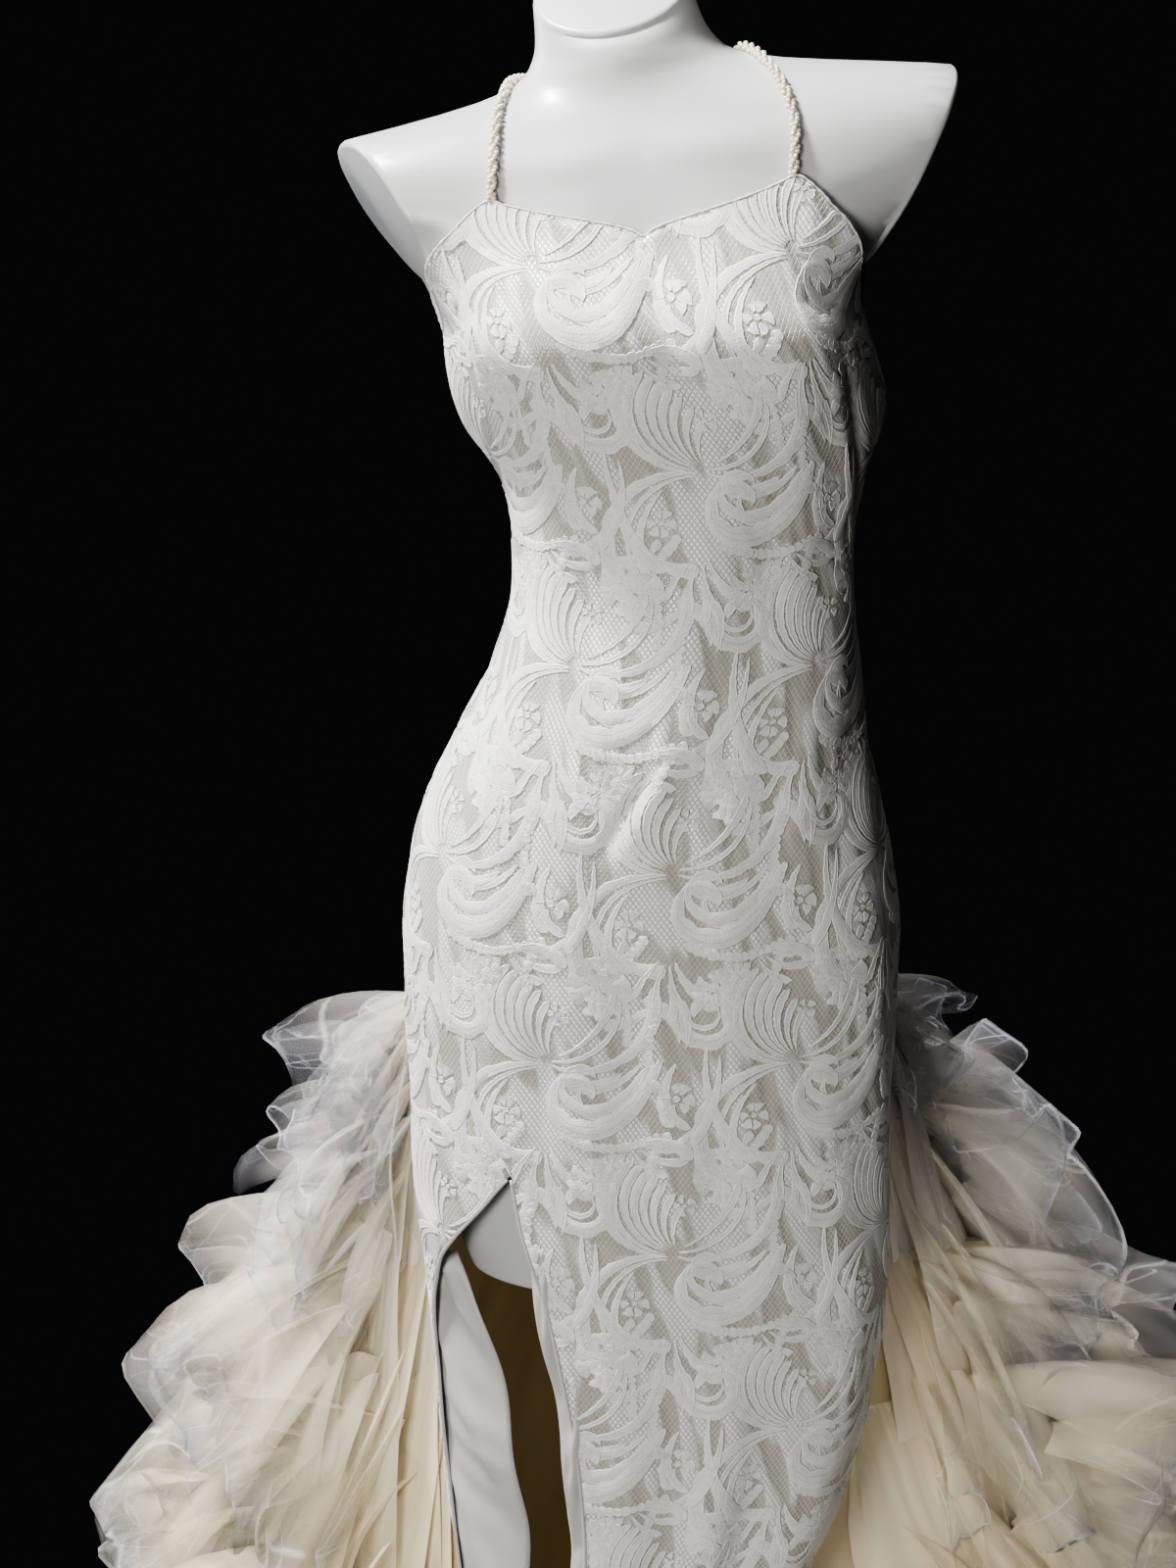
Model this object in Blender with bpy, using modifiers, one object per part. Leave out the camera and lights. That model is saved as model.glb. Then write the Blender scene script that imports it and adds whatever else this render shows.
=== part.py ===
"""A mermaid evening dress of corded lace on a limbless dress form with a pole and a round base.

Units are metres and degrees. +Z is up, the dress faces -Y, and the origin is the centre of the
base's underside. An angle runs round the figure from the centre front, 0, towards the wearer's
left, +X, to the centre back, 180. A height is measured along the figure's own spine.
"""

import math
from collections import namedtuple

import bmesh
import bpy
from mathutils import Matrix, Vector
from mathutils.bvhtree import BVHTree

# Driving sizes
LACE_WALL = 0.0016
SATIN_WALL = 0.0011
TULLE_WALL = 0.0012
EASE = 0.0024
STRAP_EASE = 2.8
SEAM_GAP = 0.0004
HEM_HEIGHT = 0.016
FORM_BOTTOM = 0.600
SIDE_SEAM_TOP = 1.172
BACK_EDGE_SIDE = 1.152
BACK_EDGE_CENTRE = 1.060
RUFFLE_SEAM = 0.785
STRAP_RADIUS = 0.0031
PIPING_RADIUS = 0.0012
BASE_RADIUS = 0.170
BASE_THICKNESS = 0.012
POLE_RADIUS = 0.0125
FLANGE_RADIUS = 0.045
FLANGE_THICKNESS = 0.006

Spine = namedtuple("Spine", "height x y roll pitch")
SPINE = (
    Spine(0.000, -0.008, 0.000, 0.0, 0.0),
    Spine(0.360, -0.010, 0.000, 0.0, 0.0),
    Spine(0.440, -0.001, 0.000, 0.0, 0.0),
    Spine(0.510, 0.004, 0.000, 0.0, 0.0),
    Spine(0.590, 0.005, 0.000, 0.0, 0.0),
    Spine(0.655, 0.001, 0.000, 0.0, 0.0),
    Spine(0.900, 0.000, 0.000, 0.0, 0.0),
    Spine(0.957, 0.005, 0.000, 0.0, 0.0),
    Spine(1.010, 0.015, 0.000, 0.0, 0.0),
    Spine(1.070, 0.020, 0.000, 0.0, 0.0),
    Spine(1.125, 0.020, 0.000, 0.0, 0.0),
    Spine(1.180, 0.012, 0.000, 0.0, 0.0),
    Spine(1.229, 0.002, 0.000, 0.8, 0.0),
    Spine(1.265, -0.006, 0.002, 2.0, 0.0),
    Spine(1.300, -0.008, 0.006, 3.6, 0.0),
    Spine(1.368, -0.009, 0.014, 7.0, 0.0),
    Spine(1.396, -0.018, 0.022, 9.0, 2.0),
    Spine(1.420, -0.023, 0.024, 10.5, 15.0),
    Spine(1.446, -0.028, 0.024, 12.0, 36.0),
)

Section = namedtuple("Section", "height half_width front back power")
FORM = (
    Section(0.600, 0.128, 0.088, 0.088, 2.30),
    Section(0.660, 0.142, 0.092, 0.096, 2.30),
    Section(0.720, 0.150, 0.095, 0.102, 2.30),
    Section(0.780, 0.156, 0.097, 0.113, 2.30),
    Section(0.830, 0.158, 0.098, 0.119, 2.25),
    Section(0.880, 0.156, 0.098, 0.120, 2.20),
    Section(0.930, 0.143, 0.095, 0.106, 2.15),
    Section(0.980, 0.127, 0.090, 0.090, 2.10),
    Section(1.030, 0.113, 0.085, 0.078, 2.10),
    Section(1.075, 0.107, 0.082, 0.074, 2.10),
    Section(1.120, 0.108, 0.084, 0.078, 2.10),
    Section(1.170, 0.116, 0.088, 0.088, 2.15),
    Section(1.220, 0.126, 0.090, 0.096, 2.20),
    Section(1.262, 0.135, 0.087, 0.101, 2.20),
    Section(1.300, 0.165, 0.079, 0.100, 2.20),
    Section(1.330, 0.200, 0.070, 0.094, 2.20),
    Section(1.352, 0.209, 0.060, 0.084, 2.20),
    Section(1.364, 0.194, 0.053, 0.074, 2.10),
    Section(1.374, 0.148, 0.048, 0.064, 2.05),
    Section(1.384, 0.098, 0.046, 0.056, 2.00),
    Section(1.396, 0.068, 0.046, 0.050, 2.00),
    Section(1.418, 0.054, 0.047, 0.047, 2.00),
    Section(1.446, 0.050, 0.047, 0.047, 2.00),
)
DRESS = (
    Section(0.000, 0.150, 0.108, 0.130, 2.30),
    Section(0.100, 0.137, 0.102, 0.120, 2.30),
    Section(0.200, 0.124, 0.097, 0.110, 2.30),
    Section(0.300, 0.117, 0.094, 0.100, 2.30),
    Section(0.363, 0.121, 0.095, 0.100, 2.30),
    Section(0.438, 0.138, 0.099, 0.100, 2.35),
    Section(0.511, 0.149, 0.102, 0.102, 2.40),
    Section(0.583, 0.156, 0.104, 0.106, 2.45),
    Section(0.655, 0.160, 0.105, 0.112, 2.45),
    Section(0.725, 0.161, 0.105, 0.120, 2.40),
    Section(0.794, 0.164, 0.105, 0.126, 2.35),
    Section(0.830, 0.164, 0.105, 0.128, 2.30),
    Section(0.863, 0.161, 0.104, 0.127, 2.25),
    Section(0.896, 0.155, 0.103, 0.122, 2.20),
    Section(0.930, 0.146, 0.101, 0.112, 2.20),
    Section(0.957, 0.137, 0.099, 0.104, 2.15),
    Section(0.983, 0.129, 0.096, 0.097, 2.15),
    Section(1.010, 0.121, 0.093, 0.091, 2.15),
    Section(1.062, 0.111, 0.088, 0.081, 2.15),
    Section(1.088, 0.110, 0.087, 0.080, 2.15),
    Section(1.140, 0.113, 0.090, 0.086, 2.15),
    Section(1.172, 0.121, 0.092, 0.093, 2.15),
    Section(1.229, 0.130, 0.093, 0.100, 2.20),
    Section(1.300, 0.130, 0.075, 0.090, 2.20),
    Section(1.446, 0.050, 0.040, 0.040, 2.00),
)

# The bust of the form, and of the dress, which bridges between the cups and hangs below them
Bust = namedtuple("Bust", "depth angle height spread above below bridge bridge_spread")
FORM_BUST = Bust(0.034, 36.0, 1.234, 17.0, 0.040, 0.030, 0.0, 14.0)
DRESS_BUST = Bust(0.036, 36.0, 1.233, 19.0, 0.042, 0.046, 0.013, 15.0)
# The stumps of the arms, as how far they stand out of the shoulder at each height
Stub = namedtuple("Stub", "height reach")
ARM_STUB = (
    Stub(1.270, 0.000),
    Stub(1.290, 0.012),
    Stub(1.306, 0.036),
    Stub(1.322, 0.054),
    Stub(1.346, 0.058),
    Stub(1.362, 0.054),
    Stub(1.372, 0.046),
    Stub(1.381, 0.030),
    Stub(1.390, 0.008),
    Stub(1.400, 0.000),
)
ARM_ANGLE = 90.0
ARM_SPREAD = 13.0
# The flat cuts of the arms: a point in each armpit, and the way out of the cut
ArmCut = namedtuple("ArmCut", "name armpit outwards")
ARM_CUTS = (
    ArmCut("right", (-0.1530, 0.0, 1.2700), (-0.860, -0.260, -0.440)),
    ArmCut("left", (0.1360, 0.0, 1.2740), (0.890, 0.080, -0.420)),
)
# The loose top corner of each side, which stands off the form
Flare = namedtuple("Flare", "depth angle height spread rise")
WING = Flare(0.014, 97.0, 1.180, 24.0, 0.032)

# Soft folds of the front panel, full from FOLD_FULL down: a trough has a depth under 0
Fold = namedtuple("Fold", "angle_top angle_hem top depth spread")
FOLD_FULL = 0.30
FOLDS = (
    Fold(14.0, 8.0, 0.640, -0.006, 6.0),
    Fold(27.0, 20.0, 0.610, 0.007, 6.0),
    Fold(43.0, 36.0, 0.680, -0.009, 6.5),
    Fold(60.0, 54.0, 0.760, 0.006, 7.0),
    Fold(-9.0, -2.0, 0.560, 0.005, 6.0),
)

# Edges that run down the dress, as the angle at each height
Edge = namedtuple("Edge", "height angle")
SIDE_EDGE_RIGHT = (
    Edge(0.000, 95.0),
    Edge(0.300, 97.0),
    Edge(0.550, 99.0),
    Edge(0.700, 100.0),
    Edge(1.200, 100.0),
)
SIDE_EDGE_LEFT = (
    Edge(0.000, 78.0),
    Edge(0.200, 82.0),
    Edge(0.400, 89.0),
    Edge(0.550, 95.0),
    Edge(0.700, 99.0),
    Edge(0.800, 100.0),
    Edge(1.200, 100.0),
)
SIDE_ANGLE = 100.0
SLIT_TOP = 0.690
SLIT_ANGLE = -45.0
SLIT_LEFT = (
    Edge(0.000, -74.0),
    Edge(0.360, -80.0),
    Edge(0.500, -79.0),
    Edge(0.580, -76.0),
    Edge(0.611, -71.0),
    Edge(0.635, -63.0),
    Edge(0.662, -54.0),
    Edge(0.680, -48.5),
    Edge(0.690, -45.0),
)
SLIT_RIGHT = (
    Edge(0.000, -10.0),
    Edge(0.300, -16.0),
    Edge(0.413, -22.0),
    Edge(0.500, -28.5),
    Edge(0.602, -37.5),
    Edge(0.660, -43.0),
    Edge(0.690, -45.0),
)
# Top edge of the front panel, as the height at each angle from the centre front
Top = namedtuple("Top", "angle height")
ROOT_ANGLE = 54.0
NECKLINE = (
    Top(0.0, 1.2975),
    Top(5.0, 1.3020),
    Top(20.0, 1.3085),
    Top(40.0, 1.3165),
    Top(50.0, 1.3225),
    Top(ROOT_ANGLE, 1.3260),
    Top(60.0, 1.3060),
    Top(70.0, 1.2760),
    Top(80.0, 1.2480),
    Top(90.0, 1.2140),
    Top(96.0, 1.1880),
    Top(100.0, SIDE_SEAM_TOP),
)

# The train's base skirt: how far it flares behind the side seams, at each height
Spread = namedtuple("Spread", "height back")
TRAIN_FLARE = (
    Spread(0.000, 0.490),
    Spread(0.130, 0.405),
    Spread(0.270, 0.320),
    Spread(0.400, 0.240),
    Spread(0.510, 0.170),
    Spread(0.620, 0.100),
    Spread(0.710, 0.038),
    Spread(0.772, 0.000),
)
TRAIN_FULLNESS = 2.4
TRAIN_TUCK = 4.0
TRAIN_START = 2.5
TRAIN_INSIDE = 0.0034
TRAIN_LEVELS = (HEM_HEIGHT, 0.105, 0.200, 0.273, 0.346, 0.379, 0.412, 0.478, 0.598, 0.700, 0.740, 0.776, RUFFLE_SEAM)

# The ruffle tiers, from the top: seam height, hem height, how far the hem stands off the train, the
# gathers, and how far the seam lies from the train's inner face, which seats it on the outer face
Tier = namedtuple("Tier", "seam hem side_reach back_reach waves depth start")
TIERS = (
    Tier(0.776, 0.692, 0.104, 0.104, 9, 0.018, 0.00183),
    Tier(0.700, 0.592, 0.138, 0.122, 10, 0.022, 0.00177),
    Tier(0.598, 0.472, 0.212, 0.138, 10, 0.027, 0.00236),
    Tier(0.478, 0.340, 0.232, 0.146, 11, 0.028, 0.00274),
    Tier(0.346, 0.194, 0.234, 0.146, 11, 0.028, 0.00361),
    Tier(0.200, 0.005, 0.214, 0.144, 12, 0.028, 0.00475),
)
WAVE_COLUMNS = 5
# How far round from the side seams a ruffle starts, and how unevenly its gathers are spaced
RUFFLE_START = 1.5
WAVE_DRIFT = 0.8
# How much higher a ruffle's hem is at its two ends
END_RISE = 0.036
# A ruffle's own section: how much of its reach and of its fall is behind it on the way to its hem
Way = namedtuple("Way", "step reach fall")
RUFFLE_WAY = (
    Way(0.00, 0.00, 0.00),
    Way(0.25, 0.24, 0.00),
    Way(0.50, 0.62, 0.20),
    Way(0.75, 0.80, 0.52),
    Way(1.00, 0.70, 1.00),
)
# The share of a ruffle's reach that it has at its two ends
END_FULLNESS = 0.56
# The train leans towards the wearer's left
TRAIN_LEAN = 0.13

Look = namedtuple("Look", "colour roughness metallic")
LOOKS = {
    "lace": Look((0.86, 0.85, 0.81), 0.62, 0.0),
    "satin": Look((0.88, 0.86, 0.79), 0.34, 0.0),
    "tulle": Look((0.90, 0.86, 0.74), 0.70, 0.0),
    "beads": Look((0.88, 0.83, 0.70), 0.30, 0.0),
    "form": Look((0.86, 0.86, 0.84), 0.28, 0.0),
    "metal": Look((0.62, 0.62, 0.63), 0.30, 1.0),
}


def read_column(table, position, key, value):
    """The smooth value of one column of a table at a position of its first column."""
    rows = [(getattr(row, key), getattr(row, value)) for row in table]
    if position <= rows[0][0]:
        return rows[0][1]
    if position >= rows[-1][0]:
        return rows[-1][1]
    i = next(k for k in range(len(rows) - 1) if position <= rows[k + 1][0])
    (x0, y0), (x1, y1) = rows[i], rows[i + 1]
    before = rows[max(i - 1, 0)]
    after = rows[min(i + 2, len(rows) - 1)]
    slope = (y1 - y0) / (x1 - x0)
    into = (y0 - before[1]) / (x0 - before[0]) if i else slope
    out = (after[1] - y1) / (after[0] - x1) if i + 2 < len(rows) else slope
    start = 0.0 if into * slope <= 0 else 2 * into * slope / (into + slope)
    stop = 0.0 if out * slope <= 0 else 2 * out * slope / (out + slope)
    t = (position - x0) / (x1 - x0)
    step = x1 - x0
    return (
        y0 * (1 + 2 * t) * (1 - t) ** 2
        + start * step * t * (1 - t) ** 2
        + y1 * t * t * (3 - 2 * t)
        + stop * step * t * t * (t - 1)
    )


def bump(distance, spread):
    """A bell of height 1."""
    return math.exp(-0.5 * (distance / spread) ** 2)


def ease_in(t):
    """A smooth step from 0 to 1."""
    t = min(1.0, max(0.0, t))
    return t * t * (3 - 2 * t)


def section_radius(table, angle, height):
    """The radius of a table's section, a superellipse with its own front and back."""
    half_width, front, back, power = (
        read_column(table, height, "height", name) for name in Section._fields[1:]
    )
    across, along = math.sin(math.radians(angle)), math.cos(math.radians(angle))
    depth = front if along > 0 else back
    total = abs(across / half_width) ** power + abs(along / depth) ** power
    return total ** (-1 / power)


def bust_depth(bust, angle, height):
    """How far a bust stands out of its section."""
    fall = bust.above if height > bust.height else bust.below
    level = bump(height - bust.height, fall)
    cups = bump(angle - bust.angle, bust.spread) + bump(angle + bust.angle, bust.spread)
    return level * (bust.depth * cups + bust.bridge * bump(angle, bust.bridge_spread))


def form_radius(angle, height):
    """The form's own skin, with its bust and the stumps of its arms."""
    arm = read_column(ARM_STUB, height, "height", "reach") * bump(abs(angle) - ARM_ANGLE, ARM_SPREAD)
    return section_radius(FORM, angle, height) + bust_depth(FORM_BUST, angle, height) + arm


def fold_depth(angle, height):
    """The soft folds of the front panel, which deepen towards the hem."""
    total = 0.0
    for fold in FOLDS:
        share = ease_in((fold.top - height) / (fold.top - FOLD_FULL))
        middle = fold.angle_top + (fold.angle_hem - fold.angle_top) * share
        total += fold.depth * share * bump(angle - middle, fold.spread)
    return total


def dress_radius(angle, height):
    """The inner face of the dress: its own section, and never nearer the form than its ease."""
    turned = (angle + 180) % 360 - 180
    cloth = section_radius(DRESS, turned, height) + bust_depth(DRESS_BUST, turned, height)
    if height >= FORM_BOTTOM - 0.02:
        near_strap = bump(abs(turned) - 66, 11) * bump(height - 1.292, 0.030)
        cloth = max(cloth, form_radius(turned, height) + EASE * (1 + STRAP_EASE * near_strap))
    wing = WING.depth * bump(height - WING.height, WING.rise)
    wing *= bump(abs(turned) - WING.angle, WING.spread)
    return cloth + wing + fold_depth(turned, height)


def place(angle, height, radius):
    """The point at an angle, height and radius about the spine, with the spine's tilt."""
    x, y, roll, pitch = (
        read_column(SPINE, height, "height", name) for name in Spine._fields[1:]
    )
    across = radius * math.sin(math.radians(angle))
    along = -radius * math.cos(math.radians(angle))
    tilt = Matrix.Rotation(-math.radians(roll), 3, "Y") @ Matrix.Rotation(math.radians(pitch), 3, "X")
    return Vector((x, y, height)) + tilt @ Vector((across, along, 0.0))


def side_angle(height, side):
    """The angle of the front panel's edge on the side where an angle lies, always over 0."""
    table = SIDE_EDGE_LEFT if side > 0 else SIDE_EDGE_RIGHT
    return read_column(table, height, "height", "angle")


def train_radius(angle, height):
    """The inner face of the train's base skirt: tucked inside the front panel, then flared."""
    side = side_angle(height, angle) + 3.0
    share = min(1.0, max(0.0, (abs(angle) - side) / (180 - side)))
    fullness = 1 - (1 - share) ** TRAIN_FULLNESS
    flare = read_column(TRAIN_FLARE, height, "height", "back")
    tucked = TRAIN_INSIDE * (1 - ease_in((abs(angle) - side) / 8))
    lean = 1 + TRAIN_LEAN * math.sin(math.radians(angle))
    return dress_radius(angle, height) - tucked + flare * fullness * lean


def new_material(name):
    """The plain finish of one kind of piece."""
    look = LOOKS[name]
    material = bpy.data.materials.get(name) or bpy.data.materials.new(name)
    material.use_nodes = True
    shader = material.node_tree.nodes["Principled BSDF"]
    shader.inputs["Base Color"].default_value = (*look.colour, 1.0)
    shader.inputs["Roughness"].default_value = look.roughness
    shader.inputs["Metallic"].default_value = look.metallic
    return material


def add_object(name, data, look, collection):
    piece = bpy.data.objects.new(name, data)
    data.materials.append(new_material(look))
    collection.objects.link(piece)
    return piece


def mesh_of(name, points, faces):
    """A mesh of a lofted surface, with its faces turned alike."""
    mesh = bpy.data.meshes.new(name)
    mesh.from_pydata([tuple(p) for p in points], [], faces)
    mesh.shade_smooth()
    return mesh


def grid_faces(columns, rows, first=0):
    """The quads of a grid whose points run row by row, facing outwards."""
    return [
        (
            first + j * columns + i,
            first + j * columns + i + 1,
            first + (j + 1) * columns + i + 1,
            first + (j + 1) * columns + i,
        )
        for j in range(rows - 1)
        for i in range(columns - 1)
    ]


def add_cloth(name, points, faces, wall, look, collection):
    """A wall of cloth: an open surface, thickened outwards."""
    piece = add_object(name, mesh_of(name, points, faces), look, collection)
    thickness = piece.modifiers.new("wall", "SOLIDIFY")
    thickness.thickness = wall
    thickness.offset = 1.0
    return piece


def spaced(start, stop, count):
    return [start + (stop - start) * k / (count - 1) for k in range(count)]


def build_form(collection, cutters):
    """The dress form: a lofted torso whose shoulders are cut off by two slanting planes."""
    around = 48
    levels = sorted([row.height for row in FORM] + [1.241, 1.281, 1.290, 1.315, 1.342])
    points = [
        place(angle, level, form_radius((angle + 180) % 360 - 180, level))
        for level in levels
        for angle in spaced(0, 360, around + 1)[:-1]
    ]
    faces = [
        (j * around + i, j * around + (i + 1) % around, (j + 1) * around + (i + 1) % around, (j + 1) * around + i)
        for j in range(len(levels) - 1)
        for i in range(around)
    ]
    faces.append(tuple(reversed(range(around))))
    faces.append(tuple(range((len(levels) - 1) * around, len(levels) * around)))
    form = add_object("form_torso", mesh_of("form_torso", points, faces), "form", collection)
    for arm in ARM_CUTS:
        cutter = add_arm_cutter(arm, cutters)
        cut = form.modifiers.new(f"cut {arm.name} arm", "BOOLEAN")
        cut.operation = "DIFFERENCE"
        cut.object = cutter
    return form


def add_arm_cutter(arm, cutters):
    """A block whose inner face is the plane of the cut, from the armpit upwards."""
    length, width, thick = 0.30, 0.30, 0.20
    outwards = Vector(arm.outwards).normalized()
    along = Vector((0.0, 1.0, 0.0))
    up = along.cross(outwards).normalized()
    if up.z < 0:
        up = -up
    along = outwards.cross(up).normalized()
    bpy.ops.mesh.primitive_cube_add(size=1.0)
    cutter = bpy.context.active_object
    cutter.name = f"arm_cut_{arm.name}"
    cutter.data.transform(Matrix.Diagonal((thick, width, length, 1.0)))
    cutter.data.transform(Matrix.Translation((thick / 2, 0.0, length / 2)))
    turn = Matrix((outwards, along, up)).transposed().to_4x4()
    cutter.matrix_world = Matrix.Translation(arm.armpit) @ turn
    cutter.hide_render = True
    cutter.display_type = "WIRE"
    for old in list(cutter.users_collection):
        old.objects.unlink(cutter)
    cutters.objects.link(cutter)
    return cutter


def add_disc(name, radius, bottom, top, look, collection, centre=(0.0, 0.0)):
    """A round bar or plate from one height to another."""
    shape = bmesh.new()
    bmesh.ops.create_cone(
        shape,
        cap_ends=True,
        segments=48,
        radius1=radius,
        radius2=radius,
        depth=top - bottom,
        matrix=Matrix.Translation((centre[0], centre[1], (top + bottom) / 2)),
    )
    mesh = bpy.data.meshes.new(name)
    shape.to_mesh(mesh)
    shape.free()
    return add_object(name, mesh, look, collection)


def build_stand(collection):
    """The round base, the pole and the plate that carries the form."""
    add_disc("stand_base", BASE_RADIUS, 0.0, BASE_THICKNESS, "metal", collection)
    plate_top = FORM_BOTTOM - SEAM_GAP
    plate_bottom = plate_top - FLANGE_THICKNESS
    add_disc("stand_plate", FLANGE_RADIUS, plate_bottom, plate_top, "metal", collection)
    pole_bottom, pole_top = BASE_THICKNESS + SEAM_GAP, plate_bottom - SEAM_GAP
    add_disc("stand_pole", POLE_RADIUS, pole_bottom, pole_top, "metal", collection)


def front_levels():
    """The heights of the front panel's rows up to the bust, with one at the slit's top."""
    below = spaced(HEM_HEIGHT, SLIT_TOP, 16)
    return below + spaced(SLIT_TOP, FRONT_SHOULDER, 12)[1:]


FRONT_SHOULDER = 1.150
FRONT_TOP_ROWS = 8
# Where the columns lie between the panel's side and the slit, and from the slit to the other side
SIDE_COLUMNS = (0.0, 0.17, 0.34, 0.52, 0.68, 0.8364, 0.92, 1.0)
FRONT_COLUMNS = tuple(
    (angle - SLIT_ANGLE) / (SIDE_ANGLE - SLIT_ANGLE)
    for angle in (-45, -37, -29, -21, -13, -5, 0, 5, 12, 20, 28, 36, 44, 49, 54, 62, 71, 82, 91, 100)
)


def slit_edges(height):
    """The angles of the slit's two edges at a height."""
    left = read_column(SLIT_LEFT, height, "height", "angle")
    right = read_column(SLIT_RIGHT, height, "height", "angle")
    return left, right


def front_point(angle, level):
    """A point of the front panel, where a level over the last row is a share of the top part."""
    if level <= FRONT_SHOULDER:
        return place(angle, level, dress_radius(angle, level))
    share = level - FRONT_SHOULDER
    top = read_column(NECKLINE, abs(angle), "angle", "height")
    height = FRONT_SHOULDER + (top - FRONT_SHOULDER) * share
    return place(angle, height, dress_radius(angle, height))


def build_front(collection):
    """The front panel, cut in one from the neckline to the hem, with the slit open."""
    levels = front_levels()
    levels += [FRONT_SHOULDER + share for share in spaced(0, 1, FRONT_TOP_ROWS)[1:]]
    points, rows = [], []
    for level in levels:
        height = min(level, FRONT_SHOULDER)
        side_right, side_left = side_angle(height, -1), side_angle(height, 1)
        open_slit = level < SLIT_TOP - 1e-6
        left, right = slit_edges(height) if open_slit else (SLIT_ANGLE, SLIT_ANGLE)
        west = [-side_right + (left + side_right) * share for share in SIDE_COLUMNS]
        east = [right + (side_left - right) * share for share in FRONT_COLUMNS]
        if not open_slit:
            east = east[1:]
        rows.append((len(points), len(west), open_slit))
        points += [front_point(angle, level) for angle in west + east]
    faces = []
    for (low, west, low_open), (high, _, high_open) in zip(rows, rows[1:]):
        for i in range(west - 1):
            faces.append((low + i, low + i + 1, high + i + 1, high + i))
        low_east = low + west if low_open else low + west - 1
        high_east = high + west if high_open else high + west - 1
        for i in range(len(FRONT_COLUMNS) - 1):
            faces.append((low_east + i, low_east + i + 1, high_east + i + 1, high_east + i))
    return add_cloth("front_panel", points, faces, LACE_WALL, "lace", collection)


def back_top(angle):
    """The height of the low back's edge."""
    share = (abs(angle) - SIDE_ANGLE) / (180 - SIDE_ANGLE)
    return BACK_EDGE_SIDE + (BACK_EDGE_CENTRE - BACK_EDGE_SIDE) * math.sin(share * math.pi / 2) ** 1.5


def build_back(collection):
    """The two back panels, from the low back to the ruffle seam, joined at the centre back."""
    columns, rows = 9, 12
    gap_angle = math.degrees(SEAM_GAP / 0.12)
    for name, sign in (("back_panel_left", 1), ("back_panel_right", -1)):
        points = []
        for share in spaced(0, 1, rows):
            for angle in spaced(SIDE_ANGLE + gap_angle, 180 - gap_angle, columns):
                low = RUFFLE_SEAM + SEAM_GAP
                height = low + (back_top(angle) - low) * share
                points.append(place(sign * angle, height, dress_radius(sign * angle, height)))
        faces = grid_faces(columns, rows)
        if sign < 0:
            faces = [tuple(reversed(face)) for face in faces]
        add_cloth(name, points, faces, LACE_WALL, "lace", collection)


def build_train(collection):
    """The flared skirt behind the side seams, tucked under the panels, which carries the ruffles."""
    points, shares = [], spaced(0, 1, 20)
    for level in TRAIN_LEVELS:
        left, right = side_angle(level, 1), 360 - side_angle(level, -1)
        between = [left + TRAIN_START + (right - left - 2 * TRAIN_START) * share for share in shares]
        for angle in [left - TRAIN_TUCK, *between, right + TRAIN_TUCK]:
            turned = angle if angle <= 180 else angle - 360
            points.append(place(turned, level, train_radius(turned, level)))
    faces = grid_faces(len(shares) + 2, len(TRAIN_LEVELS))
    add_cloth("train_skirt", points, faces, SATIN_WALL, "satin", collection)


def ruffle_point(tier, share, way):
    """A point of a ruffle: share runs from the wearer's left side round the back."""
    left = side_angle(tier.seam, 1) + RUFFLE_START
    right = 360 - RUFFLE_START - side_angle(tier.seam, -1)
    angle = left + (right - left) * share
    turned = angle if angle <= 180 else angle - 360
    behind = math.sin(share * math.pi)
    fullness = END_FULLNESS + (1 - END_FULLNESS) * behind**0.4
    reach = (tier.side_reach + (tier.back_reach - tier.side_reach) * behind**2) * fullness
    hem = tier.hem + END_RISE * (1 - behind) ** 3
    height = tier.seam + (hem - tier.seam) * way.fall
    turns = 2 * math.pi * tier.waves * share + WAVE_DRIFT * math.sin(5 * math.pi * share + tier.waves)
    wave = math.sin(turns) * way.reach**1.3 * tier.depth * fullness
    radius = train_radius(turned, height) + tier.start + reach * way.reach + wave
    return place(turned, height, radius)


def build_ruffle(name, tier, collection):
    """A gathered tier of tulle, which hangs over the top of the next."""
    columns = tier.waves * WAVE_COLUMNS + 1
    shares = spaced(0, 1, columns)
    points = [ruffle_point(tier, share, way) for way in RUFFLE_WAY for share in shares]
    faces = [tuple(reversed(face)) for face in grid_faces(columns, len(RUFFLE_WAY))]
    return add_cloth(name, points, faces, TULLE_WALL, "tulle", collection)


LINING_ROWS = 12
LINING_LEFT = (
    Edge(0.000, -38.0),
    Edge(0.200, -43.0),
    Edge(0.410, -50.0),
    Edge(0.500, -56.0),
    Edge(0.560, -61.0),
    Edge(0.600, -68.0),
    Edge(0.615, -74.0),
)
LINING_RIGHT = (
    Edge(0.000, -19.0),
    Edge(0.300, -24.0),
    Edge(0.413, -29.0),
    Edge(0.500, -34.5),
    Edge(0.602, -41.5),
    Edge(0.640, -42.5),
)


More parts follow.
